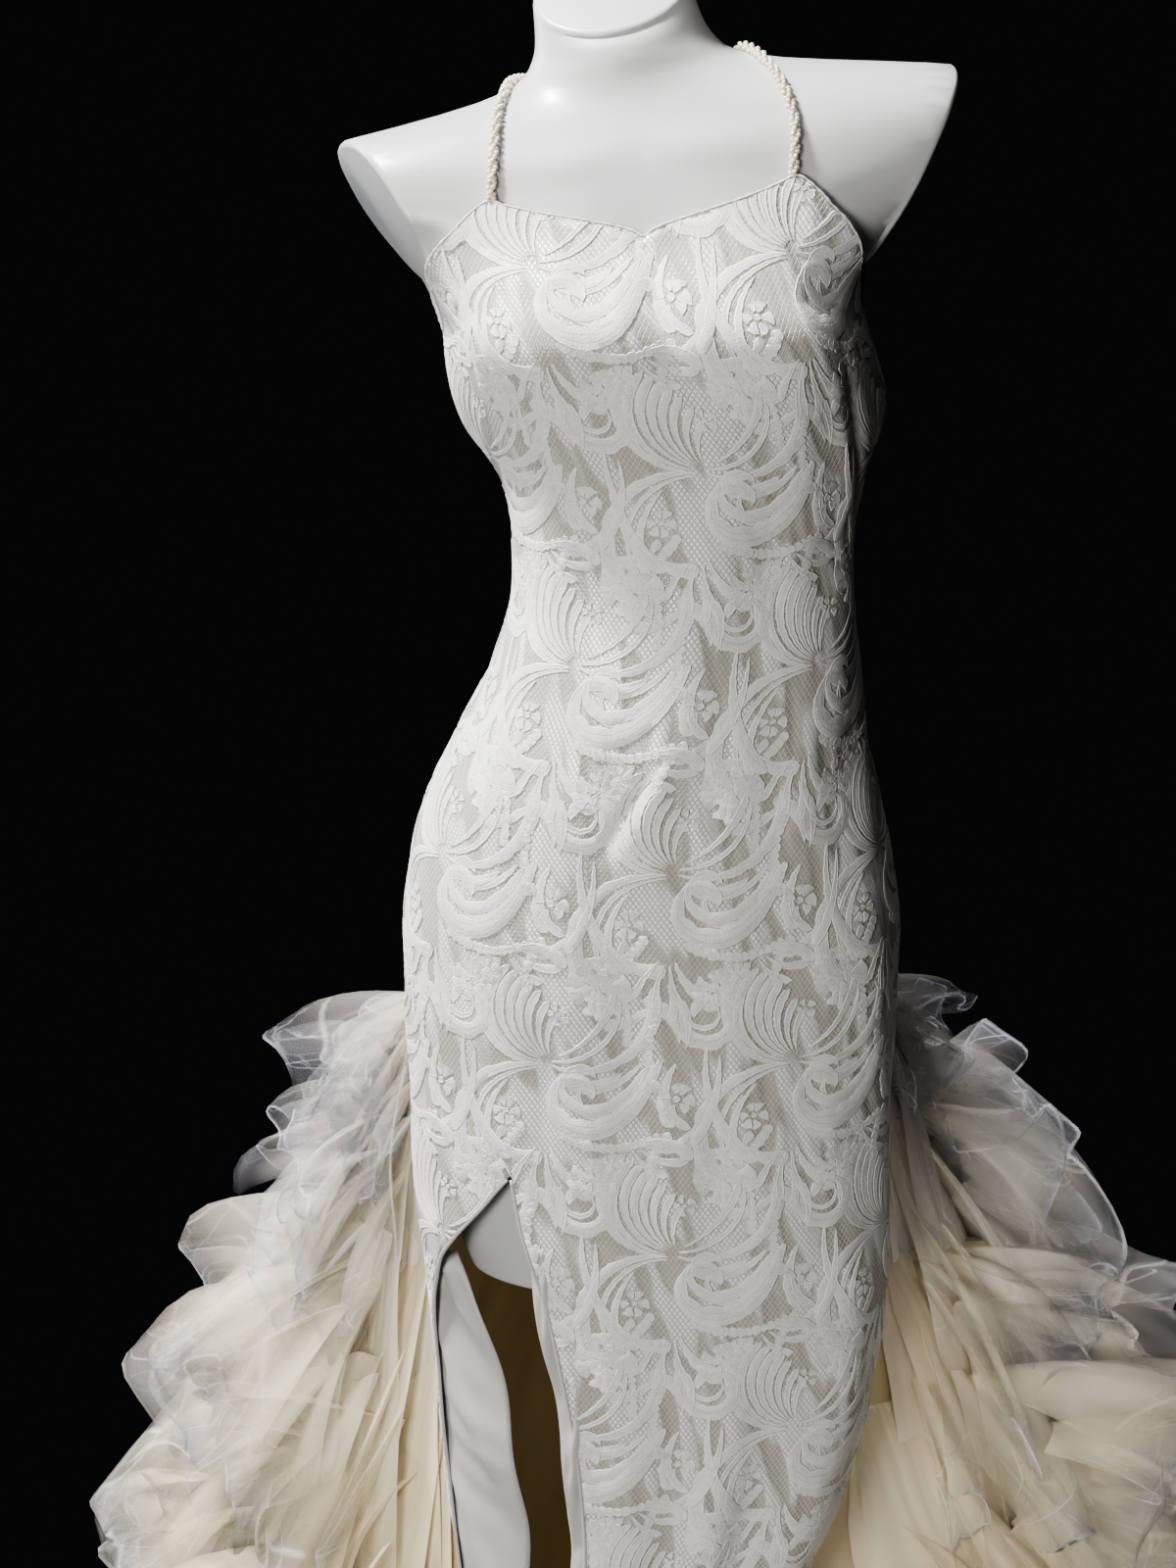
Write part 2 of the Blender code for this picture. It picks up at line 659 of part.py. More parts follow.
def build_linings(collection):
    """The strips of satin lining that show along the slit, inside the lace."""
    for name, free_edge, slit_edge, tuck, hang, seat in (
        ("lining_slit_outer", LINING_LEFT, SLIT_LEFT, -9.0, 0.016, 0.0026),
        ("lining_slit_inner", LINING_RIGHT, SLIT_RIGHT, 9.0, 0.002, 0.0028),
    ):
        points, columns = [], 5
        for level in spaced(HEM_HEIGHT + 0.004, free_edge[-1].height, LINING_ROWS):
            hidden = read_column(slit_edge, level, "height", "angle") + tuck
            free = read_column(free_edge, level, "height", "angle")
            for share in spaced(0, 1, columns):
                angle = hidden + (free - hidden) * share
                ripple = 0.002 * math.sin(9.0 * level * math.pi * 2 + 3 * share) * share
                inside = seat + hang * share**1.5 + ripple
                points.append(place(angle, level, dress_radius(angle, level) - inside))
        faces = grid_faces(columns, LINING_ROWS)
        if tuck > 0:
            faces = [tuple(reversed(face)) for face in faces]
        add_cloth(name, points, faces, SATIN_WALL, "satin", collection)


def add_tube(name, points, radius, look, collection):
    """A round tube along a line of points, made a mesh with its caps closed."""
    curve = bpy.data.curves.new(name, "CURVE")
    curve.dimensions = "3D"
    curve.bevel_depth = radius
    curve.bevel_resolution = 2
    curve.use_fill_caps = True
    line = curve.splines.new("POLY")
    line.points.add(len(points) - 1)
    for knot, point in zip(line.points, points):
        knot.co = (*point, 1.0)
    return add_object(name, curve, look, collection)


def build_piping(collection):
    """The satin piping down each edge of the slit."""
    for name, edge, sign in (("slit_piping_outer", 0, 1), ("slit_piping_inner", 1, -1)):
        points = []
        for level in front_levels()[:15]:
            angle = slit_edges(level)[edge]
            radius = dress_radius(angle, level) + LACE_WALL / 2
            slope = abs(slit_edges(level + 0.005)[edge] - slit_edges(level - 0.005)[edge])
            run = math.radians(slope) * radius / 0.010
            clear = (PIPING_RADIUS + 2 * SEAM_GAP) * math.hypot(1.0, run)
            points.append(place(angle + sign * math.degrees(clear / radius), level, radius))
        add_tube(name, points, PIPING_RADIUS, "satin", collection)


# The strap's route from one corner of the neckline round the nape to the other
Knot = namedtuple("Knot", "x y z")
STRAP_ROUTE = (
    Knot(0.086, -0.048, 1.370),
    Knot(0.072, -0.012, 1.408),
    Knot(0.060, 0.030, 1.415),
    Knot(0.050, 0.066, 1.408),
    Knot(0.022, 0.090, 1.408),
    Knot(-0.016, 0.096, 1.404),
    Knot(-0.052, 0.088, 1.398),
    Knot(-0.078, 0.062, 1.392),
    Knot(-0.090, 0.028, 1.386),
    Knot(-0.098, -0.012, 1.378),
    Knot(-0.101, -0.046, 1.350),
)
STRAP_STEPS = 4


def smooth_route(knots):
    """A smooth curve's points through the knots of a route."""
    knots = [knots[0] * 2 - knots[1], *knots, knots[-1] * 2 - knots[-2]]
    points = []
    for a, b, c, d in zip(knots, knots[1:], knots[2:], knots[3:]):
        for k in range(STRAP_STEPS):
            t = k / STRAP_STEPS
            points.append(
                0.5
                * (
                    2 * b
                    + (c - a) * t
                    + (2 * a - 5 * b + 4 * c - d) * t * t
                    + (3 * b - a - 3 * c + d) * t**3
                )
            )
    return points + [knots[-2]]


def build_strap(form, collection):
    """The beaded halter strap, which lies on the form from corner to corner of the neckline."""
    bpy.context.view_layer.update()
    surface = BVHTree.FromObject(form, bpy.context.evaluated_depsgraph_get())
    lift = STRAP_RADIUS + 2 * SEAM_GAP
    root_height = read_column(NECKLINE, ROOT_ANGLE, "angle", "height") + 0.0012
    ends = []
    for sign in (1, -1):
        radius = form_radius(sign * ROOT_ANGLE, root_height) + lift
        ends.append(place(sign * ROOT_ANGLE, root_height, radius))
    route = smooth_route([ends[0], *(Vector(knot) for knot in STRAP_ROUTE), ends[1]])
    points = []
    for point in route:
        spot, normal, _, _ = surface.find_nearest(point)
        points.append(spot + normal * lift)
    add_tube("halter_strap", points, STRAP_RADIUS, "beads", collection)


def main():
    for old in list(bpy.data.objects):
        bpy.data.objects.remove(old)
    dress = bpy.data.collections.new("mermaid evening dress")
    cutters = bpy.data.collections.new("cutters")
    for collection in (dress, cutters):
        bpy.context.scene.collection.children.link(collection)
    form = build_form(dress, cutters)
    build_stand(dress)
    build_front(dress)
    build_back(dress)
    build_train(dress)
    for number, tier in enumerate(TIERS, start=1):
        build_ruffle(f"ruffle_tier_{number}", tier, dress)
    build_linings(dress)
    build_piping(dress)
    build_strap(form, dress)


main()
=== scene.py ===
"""The looks of a mermaid evening dress: corded lace over satin, a beaded halter, and a net train.

Units are metres and degrees. The dress faces -Y, and +X is the wearer's left. An angle runs round
the figure from the centre front, 0, to the centre back, 180. On the cloth itself, u is the
distance round the figure from the centre front and the height is measured along the spine.
"""

import math
from collections import namedtuple

import bmesh
import bpy
import numpy as np
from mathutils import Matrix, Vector
from mathutils.bvhtree import BVHTree


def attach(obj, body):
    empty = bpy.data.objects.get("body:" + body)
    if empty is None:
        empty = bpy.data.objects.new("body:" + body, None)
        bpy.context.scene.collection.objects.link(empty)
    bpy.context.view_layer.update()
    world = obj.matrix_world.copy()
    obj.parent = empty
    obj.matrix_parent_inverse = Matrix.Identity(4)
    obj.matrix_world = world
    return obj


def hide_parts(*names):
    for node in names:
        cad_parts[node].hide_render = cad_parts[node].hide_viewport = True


bl_info = {
    "name": "Mermaid evening dress",
    "version": (1, 0, 0),
    "blender": (4, 5, 0),
    "location": "View3D > Sidebar > Dress",
    "description": "Builds a lace mermaid dress with a net train on a limbless dress form",
    "category": "Object",
}

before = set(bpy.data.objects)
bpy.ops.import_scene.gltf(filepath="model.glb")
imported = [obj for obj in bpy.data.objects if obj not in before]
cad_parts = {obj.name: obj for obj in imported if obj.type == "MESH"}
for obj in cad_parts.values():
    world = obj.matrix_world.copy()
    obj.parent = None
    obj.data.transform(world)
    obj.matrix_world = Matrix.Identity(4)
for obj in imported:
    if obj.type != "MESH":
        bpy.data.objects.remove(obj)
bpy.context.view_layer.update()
BODY = "root"

HEM_HEIGHT = 0.016
FORM_BOTTOM = 0.600
SIDE_SEAM = 100.0
BACK_EDGE_SIDE = 1.152
BACK_EDGE_CENTRE = 1.060
RUFFLE_SEAM = 0.785
EASE = 0.0024
WORN_BELOW = 0.02
FOLDS_FULL = 0.30

Spine = namedtuple("Spine", "height x y roll pitch")
SPINE = (
    Spine(0.000, -0.008, 0.000, 0.0, 0.0),
    Spine(0.360, -0.010, 0.000, 0.0, 0.0),
    Spine(0.440, -0.001, 0.000, 0.0, 0.0),
    Spine(0.510, 0.004, 0.000, 0.0, 0.0),
    Spine(0.590, 0.005, 0.000, 0.0, 0.0),
    Spine(0.655, 0.001, 0.000, 0.0, 0.0),
    Spine(0.900, 0.000, 0.000, 0.0, 0.0),
    Spine(0.957, 0.005, 0.000, 0.0, 0.0),
    Spine(1.010, 0.015, 0.000, 0.0, 0.0),
    Spine(1.070, 0.020, 0.000, 0.0, 0.0),
    Spine(1.125, 0.020, 0.000, 0.0, 0.0),
    Spine(1.180, 0.012, 0.000, 0.0, 0.0),
    Spine(1.229, 0.002, 0.000, 0.8, 0.0),
    Spine(1.265, -0.006, 0.002, 2.0, 0.0),
    Spine(1.300, -0.008, 0.006, 3.6, 0.0),
    Spine(1.368, -0.009, 0.014, 7.0, 0.0),
    Spine(1.396, -0.018, 0.022, 9.0, 2.0),
    Spine(1.420, -0.023, 0.024, 10.5, 15.0),
    Spine(1.446, -0.028, 0.024, 12.0, 36.0),
)
Section = namedtuple("Section", "height half_width front back power")
FORM = (
    Section(0.600, 0.128, 0.088, 0.088, 2.30),
    Section(0.660, 0.142, 0.092, 0.096, 2.30),
    Section(0.720, 0.150, 0.095, 0.102, 2.30),
    Section(0.780, 0.156, 0.097, 0.113, 2.30),
    Section(0.830, 0.158, 0.098, 0.119, 2.25),
    Section(0.880, 0.156, 0.098, 0.120, 2.20),
    Section(0.930, 0.143, 0.095, 0.106, 2.15),
    Section(0.980, 0.127, 0.090, 0.090, 2.10),
    Section(1.030, 0.113, 0.085, 0.078, 2.10),
    Section(1.075, 0.107, 0.082, 0.074, 2.10),
    Section(1.120, 0.108, 0.084, 0.078, 2.10),
    Section(1.170, 0.116, 0.088, 0.088, 2.15),
    Section(1.220, 0.126, 0.090, 0.096, 2.20),
    Section(1.262, 0.135, 0.087, 0.101, 2.20),
    Section(1.300, 0.165, 0.079, 0.100, 2.20),
    Section(1.330, 0.200, 0.070, 0.094, 2.20),
    Section(1.352, 0.209, 0.060, 0.084, 2.20),
    Section(1.364, 0.194, 0.053, 0.074, 2.10),
    Section(1.374, 0.148, 0.048, 0.064, 2.05),
    Section(1.384, 0.098, 0.046, 0.056, 2.00),
    Section(1.396, 0.068, 0.046, 0.050, 2.00),
    Section(1.418, 0.054, 0.047, 0.047, 2.00),
    Section(1.446, 0.050, 0.047, 0.047, 2.00),
)
DRESS = (
    Section(0.000, 0.150, 0.108, 0.130, 2.30),
    Section(0.100, 0.137, 0.102, 0.120, 2.30),
    Section(0.200, 0.124, 0.097, 0.110, 2.30),
    Section(0.300, 0.117, 0.094, 0.100, 2.30),
    Section(0.363, 0.121, 0.095, 0.100, 2.30),
    Section(0.438, 0.138, 0.099, 0.100, 2.35),
    Section(0.511, 0.149, 0.102, 0.102, 2.40),
    Section(0.583, 0.156, 0.104, 0.106, 2.45),
    Section(0.655, 0.160, 0.105, 0.112, 2.45),
    Section(0.725, 0.161, 0.105, 0.120, 2.40),
    Section(0.794, 0.164, 0.105, 0.126, 2.35),
    Section(0.830, 0.164, 0.105, 0.128, 2.30),
    Section(0.863, 0.161, 0.104, 0.127, 2.25),
    Section(0.896, 0.155, 0.103, 0.122, 2.20),
    Section(0.930, 0.146, 0.101, 0.112, 2.20),
    Section(0.957, 0.137, 0.099, 0.104, 2.15),
    Section(0.983, 0.129, 0.096, 0.097, 2.15),
    Section(1.010, 0.121, 0.093, 0.091, 2.15),
    Section(1.062, 0.111, 0.088, 0.081, 2.15),
    Section(1.088, 0.110, 0.087, 0.080, 2.15),
    Section(1.140, 0.113, 0.090, 0.086, 2.15),
    Section(1.172, 0.121, 0.092, 0.093, 2.15),
    Section(1.229, 0.130, 0.093, 0.100, 2.20),
    Section(1.300, 0.130, 0.075, 0.090, 2.20),
    Section(1.446, 0.050, 0.040, 0.040, 2.00),
)
Bust = namedtuple("Bust", "depth angle height spread above below bridge bridge_spread")
FORM_BUST = Bust(0.034, 36.0, 1.234, 17.0, 0.040, 0.030, 0.0, 14.0)
DRESS_BUST = Bust(0.036, 36.0, 1.233, 19.0, 0.042, 0.046, 0.013, 15.0)
Flare = namedtuple("Flare", "depth angle height spread rise")
Stub = namedtuple("Stub", "height reach")
ARM_STUB = (
    Stub(1.270, 0.000),
    Stub(1.290, 0.012),
    Stub(1.306, 0.036),
    Stub(1.322, 0.054),
    Stub(1.346, 0.058),
    Stub(1.362, 0.054),
    Stub(1.372, 0.046),
    Stub(1.381, 0.030),
    Stub(1.390, 0.008),
    Stub(1.400, 0.000),
)
ARM_ANGLE = 90.0
ARM_SPREAD = 13.0
WING = Flare(0.014, 97.0, 1.180, 24.0, 0.032)
STRAP_EASE = Flare(2.8, 66.0, 1.292, 11.0, 0.030)
COLLARBONE = Flare(0.0030, 38.0, 1.347, 20.0, 0.0075)
ArmCut = namedtuple("ArmCut", "armpit outwards")
ARM_CUTS = (
    ArmCut((-0.1530, 0.0, 1.2700), (-0.860, -0.260, -0.440)),
    ArmCut((0.1360, 0.0, 1.2740), (0.890, 0.080, -0.420)),
)
ROUND_STEPS = 3
Fold = namedtuple("Fold", "angle_top angle_hem top depth spread")
FOLDS = (
    Fold(14.0, 8.0, 0.640, -0.006, 6.0),
    Fold(27.0, 20.0, 0.610, 0.007, 6.0),
    Fold(43.0, 36.0, 0.680, -0.009, 6.5),
    Fold(60.0, 54.0, 0.760, 0.006, 7.0),
    Fold(-9.0, -2.0, 0.560, 0.005, 6.0),
)
Edge = namedtuple("Edge", "height angle")
SIDE_EDGE_RIGHT = (
    Edge(0.000, 95.0),
    Edge(0.300, 97.0),
    Edge(0.550, 99.0),
    Edge(0.700, 100.0),
    Edge(1.200, 100.0),
)
SIDE_EDGE_LEFT = (
    Edge(0.000, 78.0),
    Edge(0.200, 82.0),
    Edge(0.400, 89.0),
    Edge(0.550, 95.0),
    Edge(0.700, 99.0),
    Edge(0.800, 100.0),
    Edge(1.200, 100.0),
)
SLIT_TOP = 0.690
SLIT_LEFT = (
    Edge(0.000, -74.0),
    Edge(0.360, -80.0),
    Edge(0.500, -79.0),
    Edge(0.580, -76.0),
    Edge(0.611, -71.0),
    Edge(0.635, -63.0),
    Edge(0.662, -54.0),
    Edge(0.680, -48.5),
    Edge(0.690, -45.0),
)
SLIT_RIGHT = (
    Edge(0.000, -10.0),
    Edge(0.300, -16.0),
    Edge(0.413, -22.0),
    Edge(0.500, -28.5),
    Edge(0.602, -37.5),
    Edge(0.660, -43.0),
    Edge(0.690, -45.0),
)
Top = namedtuple("Top", "angle height")
ROOT_ANGLE = 54.0
NECKLINE = (
    Top(0.0, 1.2975),
    Top(5.0, 1.3020),
    Top(20.0, 1.3085),
    Top(40.0, 1.3165),
    Top(50.0, 1.3225),
    Top(ROOT_ANGLE, 1.3260),
    Top(60.0, 1.3060),
    Top(70.0, 1.2760),
    Top(80.0, 1.2480),
    Top(90.0, 1.2140),
    Top(96.0, 1.1880),
    Top(100.0, 1.1720),
)
Spread = namedtuple("Spread", "height back")
TRAIN_FLARE = (
    Spread(0.000, 0.490),
    Spread(0.130, 0.405),
    Spread(0.270, 0.320),
    Spread(0.400, 0.240),
    Spread(0.510, 0.170),
    Spread(0.620, 0.100),
    Spread(0.710, 0.038),
    Spread(0.772, 0.000),
)
TRAIN_FULLNESS = 2.4
TRAIN_INSIDE = 0.0034
TRAIN_TUCK = 3.0
TUCK_SPREAD = 8.0
TRAIN_LEAN = 0.13
Tier = namedtuple("Tier", "seam hem side_reach back_reach waves depth start")
TIERS = (
    Tier(0.776, 0.692, 0.100, 0.104, 9, 0.018, 0.00183),
    Tier(0.700, 0.592, 0.138, 0.122, 10, 0.022, 0.00177),
    Tier(0.598, 0.472, 0.212, 0.138, 10, 0.027, 0.00236),
    Tier(0.478, 0.340, 0.232, 0.146, 11, 0.028, 0.00274),
    Tier(0.346, 0.194, 0.234, 0.146, 11, 0.028, 0.00361),
    Tier(0.200, 0.005, 0.214, 0.144, 12, 0.028, 0.00475),
)
Way = namedtuple("Way", "step reach")
RUFFLE_WAY = (
    Way(0.00, 0.00),
    Way(0.25, 0.30),
    Way(0.50, 0.62),
    Way(0.75, 0.90),
    Way(1.00, 1.00),
)

# Creases of the front panel that the photograph shows, in the cloth's own u and height
Crease = namedtuple("Crease", "u top bottom lean depth width")
CREASES = (
    Crease(0.004, 1.292, 1.205, 0.004, -0.0030, 0.0050),
    Crease(-0.012, 1.290, 1.225, -0.010, 0.0016, 0.0060),
    Crease(0.022, 1.286, 1.220, 0.010, 0.0014, 0.0060),
    Crease(-0.003, 0.972, 0.905, -0.030, -0.0032, 0.0044),
    Crease(0.006, 0.980, 0.890, -0.034, 0.0014, 0.0070),
    Crease(-0.010, 0.900, 0.700, -0.006, -0.0020, 0.0090),
    Crease(0.050, 1.150, 0.960, 0.012, -0.0016, 0.0100),
    Crease(-0.045, 1.160, 0.990, -0.004, -0.0015, 0.0090),
    Crease(0.085, 1.060, 0.860, 0.010, 0.0020, 0.0090),
    Crease(0.100, 0.930, 0.700, 0.006, -0.0022, 0.0090),
    Crease(-0.090, 0.960, 0.800, -0.010, 0.0014, 0.0100),
    Crease(-0.075, 0.800, 0.700, 0.004, -0.0024, 0.0070),
    Crease(0.128, 1.240, 1.110, 0.004, -0.0030, 0.0060),
    Crease(0.112, 1.230, 1.120, 0.006, 0.0022, 0.0060),
    Crease(-0.120, 1.225, 1.130, -0.004, -0.0022, 0.0060),
    Crease(0.020, 0.760, 0.560, -0.004, 0.0016, 0.0100),
)


def fitted(table, key, value):
    """A function that reads a table's column smoothly, for one place or an array of places."""
    x = np.array([getattr(row, key) for row in table])
    y = np.array([getattr(row, value) for row in table])
    slope = np.diff(y) / np.diff(x)
    both = slope[:-1] * slope[1:]
    total = np.where(both > 0, slope[:-1] + slope[1:], 1.0)
    turn = np.concatenate([slope[:1], np.where(both > 0, 2 * both / total, 0.0), slope[-1:]])

    def read(position):
        p = np.clip(position, x[0], x[-1])
        i = np.clip(np.searchsorted(x, p, side="right") - 1, 0, len(x) - 2)
        step = x[i + 1] - x[i]
        t = (p - x[i]) / step
        return (
            y[i] * (1 + 2 * t) * (1 - t) ** 2
            + turn[i] * step * t * (1 - t) ** 2
            + y[i + 1] * t * t * (3 - 2 * t)
            + turn[i + 1] * step * t * t * (t - 1)
        )

    return read


spine_x, spine_y, spine_roll, spine_pitch = (
    fitted(SPINE, "height", name) for name in Spine._fields[1:]
)
slit_left = fitted(SLIT_LEFT, "height", "angle")
slit_right = fitted(SLIT_RIGHT, "height", "angle")
side_left = fitted(SIDE_EDGE_LEFT, "height", "angle")
side_right = fitted(SIDE_EDGE_RIGHT, "height", "angle")
neckline = fitted(NECKLINE, "angle", "height")
train_flare = fitted(TRAIN_FLARE, "height", "back")
way_reach = fitted(RUFFLE_WAY, "step", "reach")
arm_reach = fitted(ARM_STUB, "height", "reach")


def bump(distance, spread):
    """A bell of height 1."""
    return np.exp(-0.5 * (distance / spread) ** 2)


def swelling(flare, angle, height):
    """How far a flare stands out, the same on both sides of the figure."""
    level = bump(height - flare.height, flare.rise)
    return flare.depth * level * bump(np.abs(angle) - flare.angle, flare.spread)


def half_turn(angle):
    """The same angle between -180 and 180."""
    return (angle + 180) % 360 - 180


def unit(vectors):
    return vectors / np.linalg.norm(vectors, axis=-1, keepdims=True)


def lengths_along(points):
    """How far along a line each of its points lies."""
    return np.concatenate([[0], np.cumsum(np.linalg.norm(np.diff(points, axis=0), axis=1))])


def ease_in(t):
    """A smooth step from 0 to 1."""
    t = np.clip(t, 0.0, 1.0)
    return t * t * (3 - 2 * t)


def section_reader(table):
    """A function that gives the radius of a table's superellipse at an angle and height."""
    half_width, front, back, power = (fitted(table, "height", name) for name in Section._fields[1:])

    def read(angle, height):
        across, along = np.sin(np.radians(angle)), np.cos(np.radians(angle))
        depth = np.where(along > 0, front(height), back(height))
        n = power(height)
        return (np.abs(across / half_width(height)) ** n + np.abs(along / depth) ** n) ** (-1 / n)

    return read


form_section = section_reader(FORM)
dress_section = section_reader(DRESS)


def bust_depth(bust, angle, height):
    """How far a bust stands out of its section."""
    fall = np.where(height > bust.height, bust.above, bust.below)
    cups = bump(angle - bust.angle, bust.spread) + bump(angle + bust.angle, bust.spread)
    level = bump(height - bust.height, fall)
    return level * (bust.depth * cups + bust.bridge * bump(angle, bust.bridge_spread))


def form_radius(angle, height):
    turned = half_turn(angle)
    arms = arm_reach(height) * bump(np.abs(turned) - ARM_ANGLE, ARM_SPREAD)
    return form_section(turned, height) + bust_depth(FORM_BUST, turned, height) + arms


def dress_radius(angle, height):
    """The inner face of the dress, with the soft folds that deepen towards the hem."""
    turned = half_turn(angle)
    cloth = dress_section(turned, height) + bust_depth(DRESS_BUST, turned, height)
    worn = form_radius(turned, height) + EASE * (1 + swelling(STRAP_EASE, turned, height))
    cloth = np.where(height >= FORM_BOTTOM - WORN_BELOW, np.maximum(cloth, worn), cloth)
    cloth = cloth + swelling(WING, turned, height)
    for fold in FOLDS:
        share = ease_in((fold.top - height) / (fold.top - FOLDS_FULL))
        middle = fold.angle_top + (fold.angle_hem - fold.angle_top) * share
        cloth = cloth + fold.depth * share * bump(turned - middle, fold.spread)
    return cloth


def train_radius(angle, height):
    """The inner face of the train's base skirt: tucked inside the front panel, then flared."""
    turned = half_turn(angle)
    side = np.where(turned > 0, side_left(height), side_right(height)) + TRAIN_TUCK
    share = np.clip((np.abs(turned) - side) / (180 - side), 0.0, 1.0)
    fullness = 1 - (1 - share) ** TRAIN_FULLNESS
    tucked = TRAIN_INSIDE * (1 - ease_in((np.abs(turned) - side) / TUCK_SPREAD))
    lean = 1 + TRAIN_LEAN * np.sin(np.radians(turned))
    return dress_radius(turned, height) - tucked + train_flare(height) * fullness * lean


def place(angle, height, radius):
    """The points at an angle, height and radius about the spine, with the spine's tilt."""
    angle, height, radius = np.broadcast_arrays(angle, height, radius)
    across = radius * np.sin(np.radians(angle))
    along = -radius * np.cos(np.radians(angle))
    pitch, roll = np.radians(spine_pitch(height)), -np.radians(spine_roll(height))
    y, z = along * np.cos(pitch), along * np.sin(pitch)
    x, z = across * np.cos(roll) + z * np.sin(roll), z * np.cos(roll) - across * np.sin(roll)
    return np.stack([spine_x(height) + x, spine_y(height) + y, height + z], axis=-1)


class ClothMap:
    """The dress's surface as a map from u and height to a place and its outward direction."""

    step = 0.002
    turn_step = 0.5
    top = 1.345
    reach = 0.520
    ripple_top = 1.30
    ripple_fade = 0.10
    ripple_depth = 0.0007

    def __init__(self):
        self.heights = np.arange(0.0, self.top, self.step)
        self.angles = np.arange(-180.0, 180.0 + self.turn_step, self.turn_step)
        angle, height = np.meshgrid(self.angles, self.heights)
        points = place(angle, height, dress_radius(angle, height))
        steps = np.linalg.norm(np.diff(points, axis=1), axis=2)
        arcs = np.concatenate([np.zeros((len(points), 1)), np.cumsum(steps, axis=1)], axis=1)
        self.arcs = arcs - arcs[:, [len(self.angles) // 2]]
        self.us = np.arange(-self.reach, self.reach + self.step / 2, self.step)
        self.places = np.empty((len(self.heights), len(self.us), 3))
        for row, arc in enumerate(self.arcs):
            for axis in range(3):
                self.places[row, :, axis] = np.interp(self.us, arc, points[row, :, axis])
        self.outward = self.facing(self.places)
        u, height = np.meshgrid(self.us, self.heights)
        self.places += self.outward * self.crease_depth(u, height)[..., None]
        self.outward = self.facing(self.places)

    @staticmethod
    def facing(places):
        down, along = np.gradient(places, axis=(0, 1))
        facing = np.cross(along, down)
        return facing / np.maximum(np.linalg.norm(facing, axis=2, keepdims=True), 1e-12)

    def crease_depth(self, u, height):
        """The creases, and the faint ripples that any such cloth has."""
        total = np.zeros_like(u)
        for crease in CREASES:
            along = (crease.top - height) / (crease.top - crease.bottom)
            middle = crease.u + crease.lean * along
            fade = np.sin(np.pi * np.clip(along, 0, 1)) ** 0.7
            total += crease.depth * fade * bump(u - middle, crease.width)
        worn = ease_in((self.ripple_top - height) / self.ripple_fade) * self.ripple_depth
        total += worn * np.sin(u * 118 + 2.2 * np.sin(height * 9))
        total += worn * 0.8 * np.sin(u * 61 + height * 7 + 1.4 * np.sin(height * 13 + 2))
        total += worn * 0.5 * np.sin(height * 80 + u * 45 + 2 * np.sin(u * 30))
        return total

    def weights(self, grid, values):
        spot = np.clip((values - grid[0]) / (grid[1] - grid[0]), 0, len(grid) - 1.001)
        low = spot.astype(int)
        return low, spot - low

    def at(self, u, height, lift=0.0):
        """The places at u and height, lifted off the cloth."""
        u, height = np.asarray(u, float), np.asarray(height, float)
        row, down = self.weights(self.heights, height)
        column, along = self.weights(self.us, u)
        result = []
        for table in (self.places, self.outward):
            low = table[row, column] * (1 - along)[..., None]
            low = low + table[row, column + 1] * along[..., None]
            high = table[row + 1, column] * (1 - along)[..., None]
            high = high + table[row + 1, column + 1] * along[..., None]
            result.append(low * (1 - down)[..., None] + high * down[..., None])
        return result[0] + result[1] * np.asarray(lift, float)[..., None]

    def u_of(self, angle, height):
        """The distance round the cloth from the centre front to an angle."""
        angle, height = np.broadcast_arrays(np.asarray(angle, float), np.asarray(height, float))
        row, down = self.weights(self.heights, height)
        column, along = self.weights(self.angles, angle)
        low = self.arcs[row, column] * (1 - along) + self.arcs[row, column + 1] * along
        high = self.arcs[row + 1, column] * (1 - along) + self.arcs[row + 1, column + 1] * along
        return low * (1 - down) + high * down

    def angle_of(self, u, height):
        row = np.clip(np.rint(height / self.step).astype(int), 0, len(self.heights) - 1)
        flat = np.empty(np.shape(u))
        for k in np.unique(row):
            here = row == k
            flat[here] = np.interp(u[here], self.arcs[k], self.angles)
        return flat


CLOTH = ClothMap()


class Shade:
    """One socket of a material, with operators that add Math nodes."""

    def __init__(self, tree, socket):
        self.tree = tree
        self.socket = socket

    def math(self, operation, *values):
        return add_node(self.tree, "ShaderNodeMath", {"operation": operation}, dict(enumerate(values)))

    def __add__(self, other):
        return self.math("ADD", self, other)

    def __sub__(self, other):
        return self.math("SUBTRACT", self, other)

    def __rsub__(self, other):
        return self.math("SUBTRACT", other, self)

    def __mul__(self, other):
        return self.math("MULTIPLY", self, other)

    __radd__ = __add__
    __rmul__ = __mul__

    def sine(self):
        return self.math("SINE", self)

    def size(self):
        return self.math("ABSOLUTE", self)

    def larger(self, other):
        return self.math("MAXIMUM", self, other)

    def smaller(self, other):
        return self.math("MINIMUM", self, other)

    def over(self, low, high):
        """A smooth mask: 0 at low and 1 at high."""
        return add_node(
            self.tree,
            "ShaderNodeMapRange",
            {"interpolation_type": "SMOOTHSTEP", "clamp": True},
            {"Value": self, "From Min": low, "From Max": high},
        )


def add_node(tree, kind, settings=None, values=None, output=0):
    """A node of a kind, with its settings first and then the values or links of its sockets."""
    node = tree.nodes.new(kind)
    for name, setting in (settings or {}).items():
        setattr(node, name, setting)
    for name, value in (values or {}).items():
        if isinstance(value, Shade):
            tree.links.new(value.socket, node.inputs[name])
        else:
            node.inputs[name].default_value = value
    return Shade(tree, node.outputs[output])


